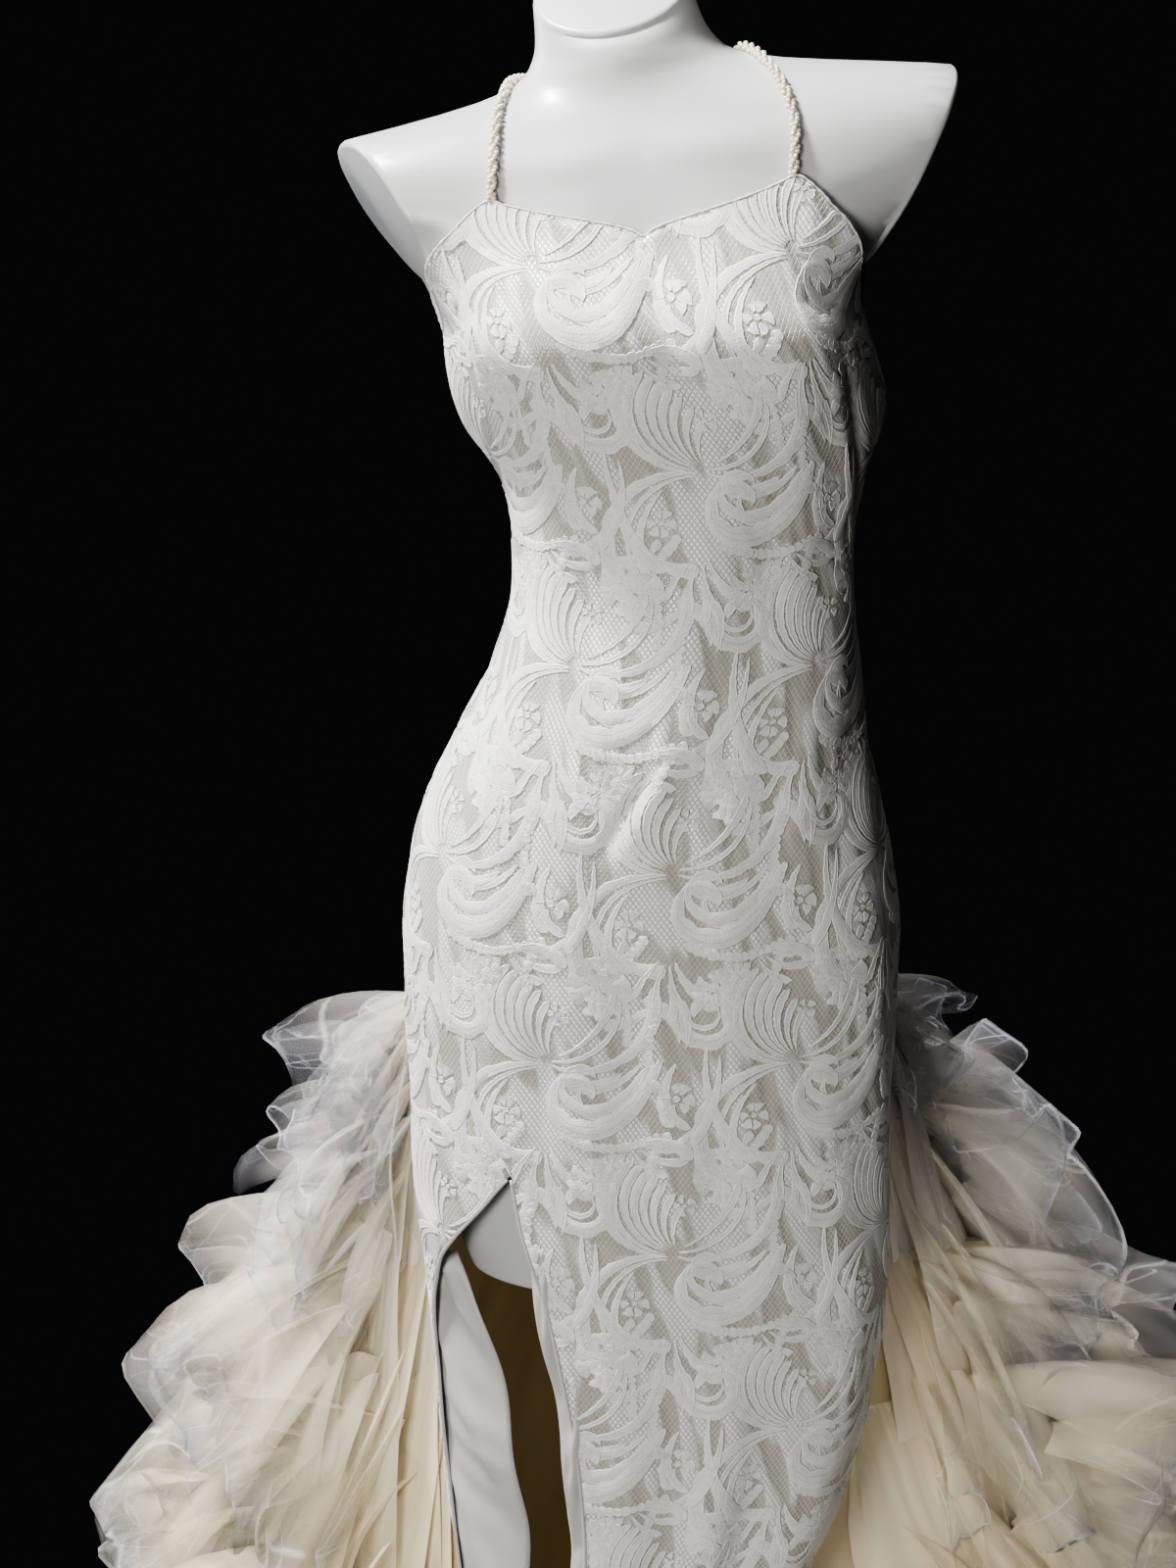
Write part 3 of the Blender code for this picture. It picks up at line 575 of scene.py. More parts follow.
class Finish:
    """A material in the making: its Principled shader and the nodes that feed it."""

    colour_inputs = (0, 6, 7)
    colour_output = 2

    def __init__(self, name, colour, roughness, **plain):
        self.material = bpy.data.materials.new(name)
        self.material.use_nodes = True
        self.tree = self.material.node_tree
        self.shader = self.tree.nodes["Principled BSDF"]
        self.set("Base Color", (*colour, 1.0))
        self.set("Roughness", roughness)
        for socket, value in plain.items():
            self.set(socket.replace("_", " "), value)

    def set(self, socket, value):
        if isinstance(value, Shade):
            self.tree.links.new(value.socket, self.shader.inputs[socket])
        else:
            self.shader.inputs[socket].default_value = value

    def node(self, kind, settings=None, values=None, output=0):
        return add_node(self.tree, kind, settings, values, output)

    def uv(self):
        """The two directions of the cloth's own UV map, in metres."""
        place = self.node("ShaderNodeUVMap", {"uv_map": "cloth"})
        parts = self.node("ShaderNodeSeparateXYZ", None, {0: place}, "X")
        return parts, Shade(self.tree, parts.socket.node.outputs["Y"])

    def spots(self):
        return self.node("ShaderNodeTexCoord", output="Object")

    def noise(self, scale, detail=2.0, roughness=0.5, place=None):
        values = {"Scale": scale, "Detail": detail, "Roughness": roughness}
        values["Vector"] = place or self.spots()
        settings = {"noise_dimensions": "2D" if place else "3D"}
        return self.node("ShaderNodeTexNoise", settings, values, "Fac")

    @staticmethod
    def ripple(value, pitch):
        """A sine that repeats at a pitch in metres."""
        return (value * (2 * math.pi / pitch)).sine()

    def spot(self, x, y):
        """A place from two numbers."""
        return self.node("ShaderNodeCombineXYZ", None, {0: x, 1: y})

    def crease(self, place, width):
        """Thin straight lines that meet at odd angles, as in crumpled cloth."""
        settings = {"feature": "DISTANCE_TO_EDGE", "voronoi_dimensions": "2D"}
        edge = self.node("ShaderNodeTexVoronoi", settings, {"Vector": place, "Scale": 1.0}, "Distance")
        return edge.over(width, 0.0)

    def blend(self, share, first, second):
        """A colour between two others."""
        ends = [end if isinstance(end, Shade) else (*end, 1.0) for end in (first, second)]
        values = dict(zip(self.colour_inputs, (share, *ends)))
        return self.node("ShaderNodeMix", {"data_type": "RGBA"}, values, self.colour_output)

    def relief(self, height, distance, strength=1.0):
        values = {"Height": height, "Distance": distance, "Strength": strength}
        return self.node("ShaderNodeBump", None, values, "Normal")


def link(obj):
    bpy.context.scene.collection.objects.link(obj)
    return obj


def choose(piece):
    """Leaves only this piece selected, and makes it the active one."""
    bpy.ops.object.select_all(action="DESELECT")
    piece.select_set(True)
    bpy.context.view_layer.objects.active = piece


def mark(piece, name, values):
    """Gives each point of a piece a number that its material reads."""
    layer = piece.data.attributes.new(name, "FLOAT", "POINT")
    layer.data.foreach_set("value", np.asarray(values, np.float32))


def cloth_mesh(name, points, faces, uvs, finish):
    """A mesh from arrays: points, faces of four or three corners, and a UV for each point."""
    mesh = bpy.data.meshes.new(name)
    mesh.from_pydata(np.asarray(points).reshape(-1, 3).tolist(), [], faces)
    layer = mesh.uv_layers.new(name="cloth")
    corners = np.empty(len(mesh.loops), dtype=np.int32)
    mesh.loops.foreach_get("vertex_index", corners)
    layer.data.foreach_set("uv", np.asarray(uvs, float).reshape(-1, 2)[corners].ravel())
    mesh.shade_smooth()
    mesh.materials.append(finish)
    return link(bpy.data.objects.new(name, mesh))


def grid_faces(columns, rows, first=0):
    """The quads of a grid whose points run row by row."""
    j, i = np.meshgrid(np.arange(rows - 1), np.arange(columns - 1), indexing="ij")
    low = first + (j * columns + i).ravel()
    return np.stack([low, low + 1, low + columns + 1, low + columns], axis=1)


def grid_faces_across(columns, rows):
    """Quads that run along the rows first, so that they face out of the cloth."""
    return grid_faces(columns, rows)[:, [0, 3, 2, 1]]


def ring_faces(around, rows):
    """The quads of a tube whose points run ring by ring."""
    j, i = np.meshgrid(np.arange(rows - 1), np.arange(around), indexing="ij")
    low, step = (j * around + i).ravel(), (j * around + (i + 1) % around).ravel()
    return np.stack([low, step, step + around, low + around], axis=1).tolist()


def thicken(piece, wall):
    """Gives a sheet its wall on its outer side, applied to the mesh."""
    choose(piece)
    modifier = piece.modifiers.new("wall", "SOLIDIFY")
    modifier.thickness = wall
    modifier.offset = 1.0
    bpy.ops.object.modifier_apply(modifier="wall")


def crisp(piece, degrees):
    """Smooth shading, with the edges sharper than an angle left sharp."""
    choose(piece)
    bpy.ops.object.shade_smooth_by_angle(angle=math.radians(degrees))


def declare_sheet(piece, length):
    """Works out how wide a sheet is from its area and the length given, and keeps the result nowhere."""
    area = sum(face.area for face in piece.data.polygons)
    area / length


def belongs(piece, slot, *nodes):
    """Puts a piece on the dress's one body, in place of CAD nodes, which it hides. The slot is not used.
    """
    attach(piece, BODY)
    if nodes:
        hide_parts(*nodes)
    return piece


# Pitches of the cloth's fine drawing, in metres
SATIN_WEAVE = 2 * math.pi / 9000
STITCH_PITCH = 0.0026
CONTOUR_PITCH = 0.0036
RIB_PITCH = 0.0013


def satin_finish(settings):
    finish = Finish("satin", settings.satin, 0.30, Sheen_Weight=0.15, Anisotropic=0.35)
    u, v = finish.uv()
    weave = finish.ripple(u, SATIN_WEAVE) * 0.5 + finish.ripple(v, SATIN_WEAVE) * 0.5
    slub = finish.noise(60, 3)
    finish.set("Roughness", slub * 0.16 + 0.24)
    finish.set("Normal", finish.relief(weave * 0.3 + slub, 0.0004, 0.35))
    return finish.material


def skirt_finish(settings):
    """The plain lining of the skirt, warmed by the net's own colour: a painted glow stands for the light
    that comes through the net, and lighter streaks are painted highlights on its folds.
    """
    # Painted glow: the lining gives off a faint warm light of its own, standing for the light that comes
    # through the net.
    finish = Finish("skirt lining", settings.skirt_lining_and_painted_light, 0.55, Sheen_Weight=0.2, Emission_Strength=1.0)
    finish.set("Emission Color", (*settings.skirt_painted_glow, 1.0))
    u, v = finish.uv()
    hang = finish.noise(1.0, 2, 0.5, finish.spot(u * 22, v * 2.4))
    # Painted highlights: lighter streaks along the hanging folds, in the net's deep colour.
    lining_painted_highlights = finish.blend(hang.over(0.3, 0.7) * 0.5, settings.skirt_lining_and_painted_light, settings.tulle_deep)
    finish.set("Base Color", finish.blend(v.over(0.70, 0.75), lining_painted_highlights, settings.tulle))
    finish.set("Normal", finish.relief(hang, 0.004, 0.5))
    return finish.material


def lace_ground_finish(settings):
    """Satin seen through a net of diamond cells, with painted highlight streaks where a soft fold lifts
    it and painted shade on the rest.
    """
    finish = Finish("lace ground", settings.satin, 0.3, Sheen_Weight=0.10, Coat_Roughness=0.26)
    u, v = finish.uv()
    warp = finish.noise(34, 1, 0.5, finish.spot(u, v)) * 1.2
    net, pillow = None, None
    for slant in (0.72, -0.72):
        wave = ((u + v * slant) * (math.pi / settings.net_cell) + warp).sine().size()
        line = (1 - wave).over(0.52, 0.84)
        net = line if net is None else net.larger(line)
        pillow = wave if pillow is None else pillow.smaller(wave)
    streak = finish.noise(1.0, 1, 0.4, finish.spot(u * 58 + v * 15, v * 13))
    # Painted light: the streaks take a lit copy of the satin and the rest take a shaded copy. Over the
    # lit streaks the net's threads take the lace's shade colour.
    lit = streak.over(0.47, 0.57)
    satin = finish.blend(lit, settings.satin_shade, settings.satin_lit)
    thread = finish.blend(lit, settings.lace, settings.lace_shade)
    finish.set("Base Color", finish.blend(net * 0.9, satin, thread))
    finish.set("Roughness", net * 0.34 - lit * 0.04 + 0.22)
    finish.set("Coat Weight", lit * (1 - net * 0.9))
    finish.set("Normal", finish.relief(net * 0.9 + pillow * 0.3 + streak * 6, 0.0009, 1.0))
    return finish.material


def clothwork_finish(settings):
    """The close woven parts of the lace: a cord round each leaf, painted lighter as a highlight on its
    crest; a painted shadow just inside each leaf's edge; and faint lines that follow it, sunk and
    painted darker as shade.
    """
    finish = Finish("lace clothwork", settings.lace, 0.62, Sheen_Weight=0.25, Sheen_Roughness=0.4)
    u, v = finish.uv()
    half = finish.node("ShaderNodeAttribute", {"attribute_name": "half"}, output="Fac")
    inside = half - v.size()
    stitch = finish.ripple(u, STITCH_PITCH) * 0.3 + 0.7
    # Painted shadow: a dark dashed line just inside each leaf's edge, beside its cord.
    outline_shadow = inside.over(0.0006, 0.0002) * stitch
    # The cord stands up in the relief and is also painted lighter, a painted highlight on its crest.
    cord = inside.over(0.0004, 0.0008) * inside.over(0.0015, 0.0011)
    contour = finish.ripple(inside, CONTOUR_PITCH).over(0.70, 1.0)
    echo = contour * inside.over(0.0026, 0.0034) * stitch
    rib = finish.ripple(u, RIB_PITCH) * 0.5 + 0.5
    grain = finish.noise(620, 1)
    patch = finish.noise(150, 2, 0.5, finish.spot(u, v))
    shade = (patch.over(0.35, 0.7) * 0.25 + grain.over(0.45, 0.7) * 0.35).smaller(1.0)
    cloth = finish.blend(shade, settings.lace, settings.lace_shade)
    cloth = finish.blend(cord * 0.7, cloth, settings.lace_cord_highlight)
    # Painted shade: the edge lines and the faint echo lines are sunk in the relief and also painted
    # darker.
    grooves_and_shade = outline_shadow.larger(echo * 0.55)
    finish.set("Base Color", finish.blend(grooves_and_shade * 0.85, cloth, settings.lace_line_shadow))
    finish.set("Roughness", grain * 0.2 + 0.42)
    height = cord * 0.5 - grooves_and_shade * 0.8 + rib * 0.14 + grain * 0.9
    finish.set("Normal", finish.relief(height, 0.00036, 0.7))
    return finish.material


def tulle_finish(settings):
    """Sheer net: it covers more where it is folded or creased, and yellows towards its roots."""
    finish = Finish(
        "tulle", settings.tulle, 0.7, Sheen_Weight=0.35, Sheen_Roughness=0.4, Specular_IOR_Level=0.25
    )
    across, out = finish.uv()
    close = finish.node("ShaderNodeAttribute", {"attribute_name": "closeness"}, output="Fac")
    level = finish.node("ShaderNodeSeparateXYZ", None, {0: finish.spots()}, "Z")
    bend = finish.noise(9, 1, 0.5, finish.spot(across, level))
    streak = finish.noise(1.0, 1, 0.5, finish.spot(across * 34 + bend * 2, out * 1.4))
    fold = finish.crease(finish.spot(across * 15 + bend * 2.5, out * 0.9 + bend * 0.7), 0.020)
    small = finish.crease(finish.spot(across * 36 + bend * 3, out * 1.7 + bend), 0.022)
    lines = (fold + small * 0.4).smaller(1.0) * out.over(0.30, 0.90)
    rim = out.over(0.975, 0.995)
    low = level.over(0.74, 0.36)
    body = finish.blend(low, settings.tulle, settings.tulle_low)
    body = finish.blend(out.over(0.55, 0.02), body, settings.tulle_deep)
    edge = finish.blend(low, settings.tulle_edge, settings.tulle)
    finish.set("Base Color", finish.blend((out.over(0.72, 1.0) + lines * 0.25).smaller(1.0), body, edge))
    cover = settings.net_flat + streak.over(0.35, 0.7) * 0.14 + close * settings.net_folded
    cover = cover * (1 - out.over(0.62, 0.90) * 0.5) * (1 - level.over(0.60, 0.72) * 0.58)
    cover = cover + out.over(0.90, 0.40) * (low * 0.8 + 0.2) * settings.net_body
    cover = cover + lines * close.over(-0.2, 0.2) * settings.net_crease
    cover = cover + rim * close.over(-0.1, 0.3) * 0.5
    finish.set("Alpha", cover.smaller(0.98).larger(0.0))
    finish.set("Normal", finish.relief(streak, 0.004, 0.5))
    return finish.material


def pearl_finish(settings):
    finish = Finish(
        "pearls", settings.pearl, 0.24, Coat_Weight=0.5, Coat_Roughness=0.12, Subsurface_Weight=0.15
    )
    finish.set("Subsurface Radius", (0.002, 0.0015, 0.001))
    tone = finish.noise(180, 2)
    finish.set("Base Color", finish.blend(tone.over(0.35, 0.65), settings.pearl, settings.pearl_light))
    return finish.material


def form_finish(settings):
    finish = Finish("form paint", settings.paint, 0.36, Coat_Weight=0.18, Coat_Roughness=0.22)
    wave = finish.noise(28, 2)
    dust = finish.noise(240, 3)
    finish.set("Roughness", dust * 0.14 + 0.31)
    finish.set("Normal", finish.relief(wave, 0.0011, 0.25))
    return finish.material


def steel_finish(settings):
    finish = Finish("brushed steel", settings.steel, 0.32, Metallic=1.0)
    brushed = finish.noise(90, 4, 0.7)
    finish.set("Roughness", brushed * 0.2 + 0.24)
    finish.set("Normal", finish.relief(finish.noise(800, 2), 0.0001, 0.3))
    return finish.material


def front_columns(height, open_slit):
    """The u of each column of the front panel at a height, on both sides of the slit."""
    low = CLOTH.u_of(-side_right(height), height)
    high = CLOTH.u_of(side_left(height), height)
    left = CLOTH.u_of(slit_left(height), height)
    right = CLOTH.u_of(slit_right(height), height)
    west = low + (left - low) * np.linspace(0, 1, WEST_COLUMNS)
    east = right + (high - right) * np.linspace(0, 1, EAST_COLUMNS)
    return west, east if open_slit else east[1:]


# The lace repeats like bricks, a row of knots every REPEAT_DOWN. A stroke is one leaf of it, in
# millimetres from its knot: it starts at x y, turns by its bend, and has lobes on one side.
REPEAT_ACROSS = 0.162
REPEAT_DOWN = 0.129
KNOT_U = 0.012
KNOT_HEIGHT = 1.155
Stroke = namedtuple("Stroke", "x y heading length bend curl width lobes kind")
STROKES = (
    # the fan that climbs from the knot
    Stroke(-6, -1, 176, 98, -142, 0.1, 4.6, 6, "plume"),
    Stroke(-6, 1, 170, 86, -136, 0.1, 3.7, 0, "plume"),
    Stroke(-5, 3, 163, 76, -128, 0.1, 3.6, 0, "plume"),
    Stroke(-4, 4, 155, 67, -118, 0.1, 3.5, 0, "plume"),
    Stroke(-3, 5, 146, 58, -106, 0.1, 3.4, 0, "plume"),
    Stroke(-2, 6, 135, 49, -92, 0.1, 3.2, 0, "plume"),
    Stroke(0, 6, 122, 40, -76, 0.1, 3.0, 0, "plume"),
    Stroke(2, 6, 106, 31, -58, 0.1, 2.8, 0, "plume"),
    # the band that leaves the knot to the left, turns down and ends in lobes
    Stroke(-4, -3, 184, 108, 148, 0.2, 2.2, 0, "band"),
    Stroke(-4, -1, 180, 122, 146, 0.3, 5.6, 8, "plume"),
    Stroke(-26, -12, 226, 62, 78, 0.2, 3.4, 6, "plume"),
    Stroke(-34, -54, 312, 34, 70, 0.2, 5.0, 3, "plume"),
    # the comma under the knot: an outer scroll, an inner one and the leaves they hold
    Stroke(74, 4, 244, 150, -344, 1.3, 6.8, 9, "scroll"),
    Stroke(66, 0, 238, 112, -310, 1.1, 4.0, 6, "scroll"),
    Stroke(62, 2, 232, 62, -96, 0.2, 4.6, 4, "plume"),
    Stroke(50, -4, 218, 40, -66, 0.2, 3.6, 0, "leaf"),
    Stroke(22, -14, 252, 26, 116, 0.4, 2.4, 0, "band"),
    Stroke(46, -34, 196, 30, -70, 0.2, 3.4, 3, "plume"),
    # the window leaf to the right of the knot
    Stroke(3, -1, -14, 104, 120, 0.2, 4.6, 7, "plume"),
    Stroke(4, 2, 2, 70, 96, 0.2, 2.2, 0, "band"),
    Stroke(8, 6, 26, 60, 56, 0.2, 2.8, 5, "plume"),
    Stroke(72, 46, 236, 44, -64, 0.2, 4.2, 4, "plume"),
    Stroke(62, 50, 216, 30, -60, 0.2, 3.0, 0, "plume"),
    # the ring with a knob, above on the left
    Stroke(-78, 50, 262, 108, 372, 0.5, 5.0, 8, "scroll"),
    Stroke(-74, 46, 270, 58, 300, 0.6, 2.2, 0, "scroll"),
    Stroke(-84, 56, 300, 28, -60, 0.2, 3.4, 3, "plume"),
    # the long frame with net in it, below on the left
    Stroke(-58, 14, 262, 92, 64, 0.1, 4.6, 7, "plume"),
    Stroke(-50, 8, 272, 66, -40, 0.2, 3.6, 4, "plume"),
    Stroke(-62, -58, 342, 40, 96, 0.3, 4.4, 4, "scroll"),
    Stroke(-78, 2, 236, 46, 70, 0.2, 4.8, 4, "plume"),
    Stroke(-82, -10, 250, 40, 96, 0.2, 3.4, 0, "plume"),
    # sprays that close the ground
    Stroke(2, -58, 288, 44, 62, 0.2, 4.4, 5, "plume"),
    Stroke(-1, -60, 268, 40, 50, 0.2, 3.4, 0, "plume"),
    Stroke(-5, -60, 246, 36, 40, 0.2, 3.2, 0, "plume"),
    Stroke(-8, -58, 224, 32, 30, 0.2, 3.0, 0, "plume"),
    Stroke(62, -52, 338, 42, 88, 0.3, 5.0, 4, "plume"),
    Stroke(60, -56, 318, 36, 70, 0.2, 3.4, 0, "plume"),
    Stroke(56, -58, 298, 30, 60, 0.2, 3.2, 0, "plume"),
    Stroke(86, 16, 98, 40, 70, 0.2, 4.6, 4, "plume"),
    Stroke(90, 12, 76, 36, 50, 0.2, 3.6, 0, "plume"),
    Stroke(-22, 76, 20, 40, -80, 0.2, 4.2, 4, "plume"),
)
Rose = namedtuple("Rose", "x y radius petals turn")
ROSES = (
    Rose(34, 52, 19, 9, 10),
    Rose(30, -78, 15, 8, 25),
    Rose(84, -22, 11, 7, 0),
    Rose(-40, 60, 9, 6, 20),
    Rose(-28, -34, 9, 6, 0),
    Rose(8, 34, 7, 5, 40),
)
# A row of round lobes, such as edges a leaf, from its first radius to its last.
Chain = namedtuple("Chain", "x y heading length bend first last")
CHAINS = (
    Chain(12, -48, 330, 62, 60, 4.4, 3.0),
    Chain(52, 16, 84, 34, 20, 3.8, 2.6),
    Chain(-14, 50, 96, 34, -50, 3.0, 4.2),
    Chain(-92, 30, 250, 44, 40, 3.2, 4.4),
    Chain(-44, -66, 20, 34, 40, 3.0, 4.2),
)
# In millimetres as well: how a stroke is cut into rows, and how it stands on the net
LOBE_PITCH = 1.45
ROW_PITCH = 3.8
FINE_ROW_PITCH = 2.7
LEAST_ROWS = 7
HAND_WOBBLE = 0.25
CORD_IN = 0.75
STROKE_LIFTS = (0.05, 0.44, 0.25, 0.44, 0.05)
SCALLOP = 0.32
LARGE_ROSE = 12
MM = 0.001
# How strokes lie over each other, and how far one may be moved onto an edge before it is cut
LACE_SEAT = 0.0011
OVERLAP_STEP = 0.00004
OVERLAPS = 7
ON_THE_EDGE = 0.0005
PAST_THE_EDGE = 0.006
LACE_CRISP = 32
EDGE_HALF = 0.0100


def rose_strokes(rose):
    """The petals of a rose, two rings of them on a large one, and its eye."""
    for ring, (size, out) in enumerate(((1.0, 0.34), (0.62, 0.10))[: 1 + (rose.radius > LARGE_ROSE)]):
        petals = rose.petals - 2 * ring
        for k in range(petals):
            heading = rose.turn + 360 * (k + ring * 0.5) / petals + 9 * math.sin(2.3 * k)
            grown = size * rose.radius * (1 + 0.10 * math.sin(1.7 * k + 1))
            x = rose.x + out * rose.radius * math.cos(math.radians(heading))
            y = rose.y + out * rose.radius * math.sin(math.radians(heading))
            yield Stroke(x, y, heading - 12, 0.72 * grown, 30, 0.0, 0.36 * grown, 2, "plume")
    eye = 0.24 * rose.radius
    yield Stroke(rose.x - eye, rose.y, 0, 2 * eye, 0, 0.0, eye, 0, "lobe")


def chain_strokes(chain):
    """The lobes of a chain, large and small by turns."""
    count = round(chain.length / (LOBE_PITCH * (chain.first + chain.last) / 2)) + 1
    line = Stroke(*chain[:5], 0.0, 1.0, 0, "band")
    for k, (t, (x, y)) in enumerate(zip(*stroke_path(line, count)[:2])):
        radius = (chain.first + (chain.last - chain.first) * t) * (1 + 0.12 * math.sin(2.6 * k))
        yield Stroke(x - radius, y, 0, 2 * radius, 0, 0.0, radius, 0, "lobe")


def stroke_path(stroke, count):
    """A stroke's path and its left-hand direction: the heading turns evenly, or more at its end."""
    t = np.linspace(0, 1, count)
    heading = np.radians(stroke.heading + stroke.bend * t ** (1 + stroke.curl))
    middle = (heading[:-1] + heading[1:]) / 2
    step = stroke.length / (count - 1)
    x = stroke.x + np.concatenate([[0], np.cumsum(np.cos(middle))]) * step
    y = stroke.y + np.concatenate([[0], np.cumsum(np.sin(middle))]) * step
    return t, np.stack([x, y], 1), np.stack([-np.sin(heading), np.cos(heading)], 1)


def stroke_width(stroke, t):
    """Half the width along a stroke: a plume is fat near its tip, and a scroll ends in a knob."""
    if stroke.kind == "plume":
        grown = 0.16 + 0.84 * np.clip(t / 0.72, 0, 1) ** 0.75
        return stroke.width * grown * rounded_end(t, 0.80)
    if stroke.kind == "band":
        return stroke.width * (0.35 + 0.65 * np.sin(np.pi * t) ** 0.8) * rounded_end(t, 0.94)
    if stroke.kind == "scroll":
        body = 0.25 + 0.75 * np.clip(np.sin(np.pi * np.clip(t * 1.25, 0, 1)), 0, 1) ** 0.7
        knob = 0.42 + 0.30 * np.sin(np.pi * (t - 0.78) / 0.22)
        return stroke.width * np.where(t > 0.78, knob, body) * rounded_end(t, 0.94)
    if stroke.kind == "lobe":
        return stroke.width * np.sqrt(np.clip(1 - (2 * t - 1) ** 2, 0, 1))
    return stroke.width * np.clip(np.sin(np.pi * t), 0, 1) ** 0.6


def rounded_end(t, start):
    return np.sqrt(1 - np.clip((t - start) / (1 - start), 0, 1) ** 2.4)


def stroke_section(width):
    """Across a stroke: a cord near each edge and the flat clothwork between."""
    cord = 1 - np.minimum(CORD_IN / np.maximum(width, 0.1), 0.45)
    one = np.ones_like(cord)
    across = np.stack([-one, -cord, 0 * one, cord, one], 1)
    return across, np.array(STROKE_LIFTS) * MM


class LaceCut:
    """All the strokes of the lace that fall on one panel, as one mesh."""

    def __init__(self, fit, columns, rows):
        self.points, self.lifts, self.uvs, self.faces, self.halves = [], [], [], [], []
        self.fit, self.total = fit, 0
        self.offsets = np.array(
            [
                (KNOT_U + (i + (j % 2) / 2) * REPEAT_ACROSS, KNOT_HEIGHT + j * REPEAT_DOWN)
                for i in columns
                for j in rows
            ]
        )
        strokes = list(STROKES)
        for rose in ROSES:
            strokes += rose_strokes(rose)
        for chain in CHAINS:
            strokes += chain_strokes(chain)
        for number, stroke in enumerate(strokes):
            self.lay(stroke, number)

    def lay(self, stroke, number):
        pitch = FINE_ROW_PITCH if stroke.lobes or stroke.kind == "scroll" else ROW_PITCH
        count = max(LEAST_ROWS, round(stroke.length / pitch) + 1)
        t, path, left = stroke_path(stroke, count)
        path = path + left * (HAND_WOBBLE * np.sin(stroke.length * t * 0.9 + number))[:, None]
        width = stroke_width(stroke, t)
        across, lift = stroke_section(width)
        lobed = 1 + SCALLOP * np.abs(np.sin(np.pi * stroke.lobes * t)) * min(1.0, stroke.lobes)
        half = width[:, None] * np.where(across < 0, lobed[:, None], 1.0)
        reach = across * half
        spots = (path[:, None] + left[:, None] * reach[..., None]) * MM
        rows, columns = across.shape
        faces = grid_faces_across(columns, rows)
        along = np.cumsum(np.full(rows, stroke.length / (rows - 1)))[:, None]
        uv = np.stack([along + 0 * reach, reach], -1).reshape(-1, 2) * MM
        lifts = np.broadcast_to(lift, across.shape).ravel() + (number % OVERLAPS) * OVERLAP_STEP
        for offset in self.offsets:
            self.add(spots.reshape(-1, 2) + offset, lifts, uv, faces, half.ravel() * MM)

    def add(self, placed, lifts, uv, faces, half):
        fitted_spots, side = self.fit(placed)
        off = np.linalg.norm(fitted_spots - placed, axis=1)
        if off.min() > ON_THE_EDGE:
            return
        worst, least = off[faces].max(1), off[faces].min(1)
        torn = (side[faces].min(1) < 0) & (side[faces].max(1) > 0)
        keep = (least < ON_THE_EDGE) & (worst < PAST_THE_EDGE) & ~torn
        if not keep.any():
            return
        self.points.append(fitted_spots)
        self.lifts.append(lifts)
        self.uvs.append(uv)
        self.halves.append(half)
        self.faces.append(faces[keep] + self.total)
        self.total += len(fitted_spots)

    def pieces(self, name, finish, splits):
        """The lace as meshes, split at heights so that none is too heavy."""
        spots, lifts = np.concatenate(self.points), np.concatenate(self.lifts)
        uvs, faces = np.concatenate(self.uvs), np.concatenate(self.faces)
        halves = np.concatenate(self.halves)
        level = spots[faces[:, 0], 1]
        limits = [-1.0, *splits, 9.0]
        made = []
        for k, (low, high) in enumerate(zip(limits, limits[1:])):
            used, index = np.unique(faces[(level >= low) & (level < high)], return_inverse=True)
            points = CLOTH.at(spots[used, 0], spots[used, 1], lifts[used] + LACE_SEAT)
            title = f"{name}_{k + 1}" if splits else name
            piece = cloth_mesh(title, points, index.reshape(-1, 4).tolist(), uvs[used], finish)
            mark(piece, "half", halves[used])
            crisp(piece, LACE_CRISP)
            made.append(piece)
        return made


# How far inside an edge of its panel the raised lace ends
LACE_IN = 0.001
LACE_BELOW_TOP = 0.0012
LACE_BESIDE_SLIT = 0.0008
LACE_HIGHEST = 1.33
# In degrees: where the bound edge runs down the centre back, and how far behind the side seam
# the back's raised lace starts
CENTRE_BACK = 179.6
BACK_LACE_IN = 0.4


def fit_front(spots):
    """Moves spots of lace that pass an edge of the front panel onto that edge."""
    u, height = spots[:, 0].copy(), np.maximum(spots[:, 1], HEM_HEIGHT + LACE_IN)
    angle = CLOTH.angle_of(u, np.minimum(height, LACE_HIGHEST))
    height = np.minimum(height, neckline(np.abs(angle)) - LACE_BELOW_TOP)
    low = CLOTH.u_of(-side_right(height), height) + LACE_IN
    high = CLOTH.u_of(side_left(height), height) - LACE_IN
    u = np.clip(u, low, high)
    left = CLOTH.u_of(slit_left(height), height) - LACE_BESIDE_SLIT
    right = CLOTH.u_of(slit_right(height), height) + LACE_BESIDE_SLIT
    level = height < SLIT_TOP
    side = np.where(level, np.where(u < (left + right) / 2, -1, 1), 0)
    within = level & (u > left) & (u < right)
    u = np.where(within, np.where(side < 0, left, right), u)
    return np.stack([u, height], 1), side


def fit_back(sign):
    """The same for one back panel."""

    def fit(spots):
        u, height = spots[:, 0].copy(), np.maximum(spots[:, 1], RUFFLE_SEAM + LACE_IN)
        angle = np.abs(CLOTH.angle_of(u, height))
        height = np.minimum(height, back_top(np.clip(angle, SIDE_SEAM, 180)) - LACE_BELOW_TOP)
        edges = (SIDE_SEAM + BACK_LACE_IN, CENTRE_BACK)
        near, far = (CLOTH.u_of(sign * edge + 0 * height, height) for edge in edges)
        u = np.clip(u, np.minimum(near, far), np.maximum(near, far))
        return np.stack([u, height], 1), np.zeros(len(u), int)

    return fit


# A direction that no cord of the dress starts in
ASKEW = (0.31, 0.17, 0.93)


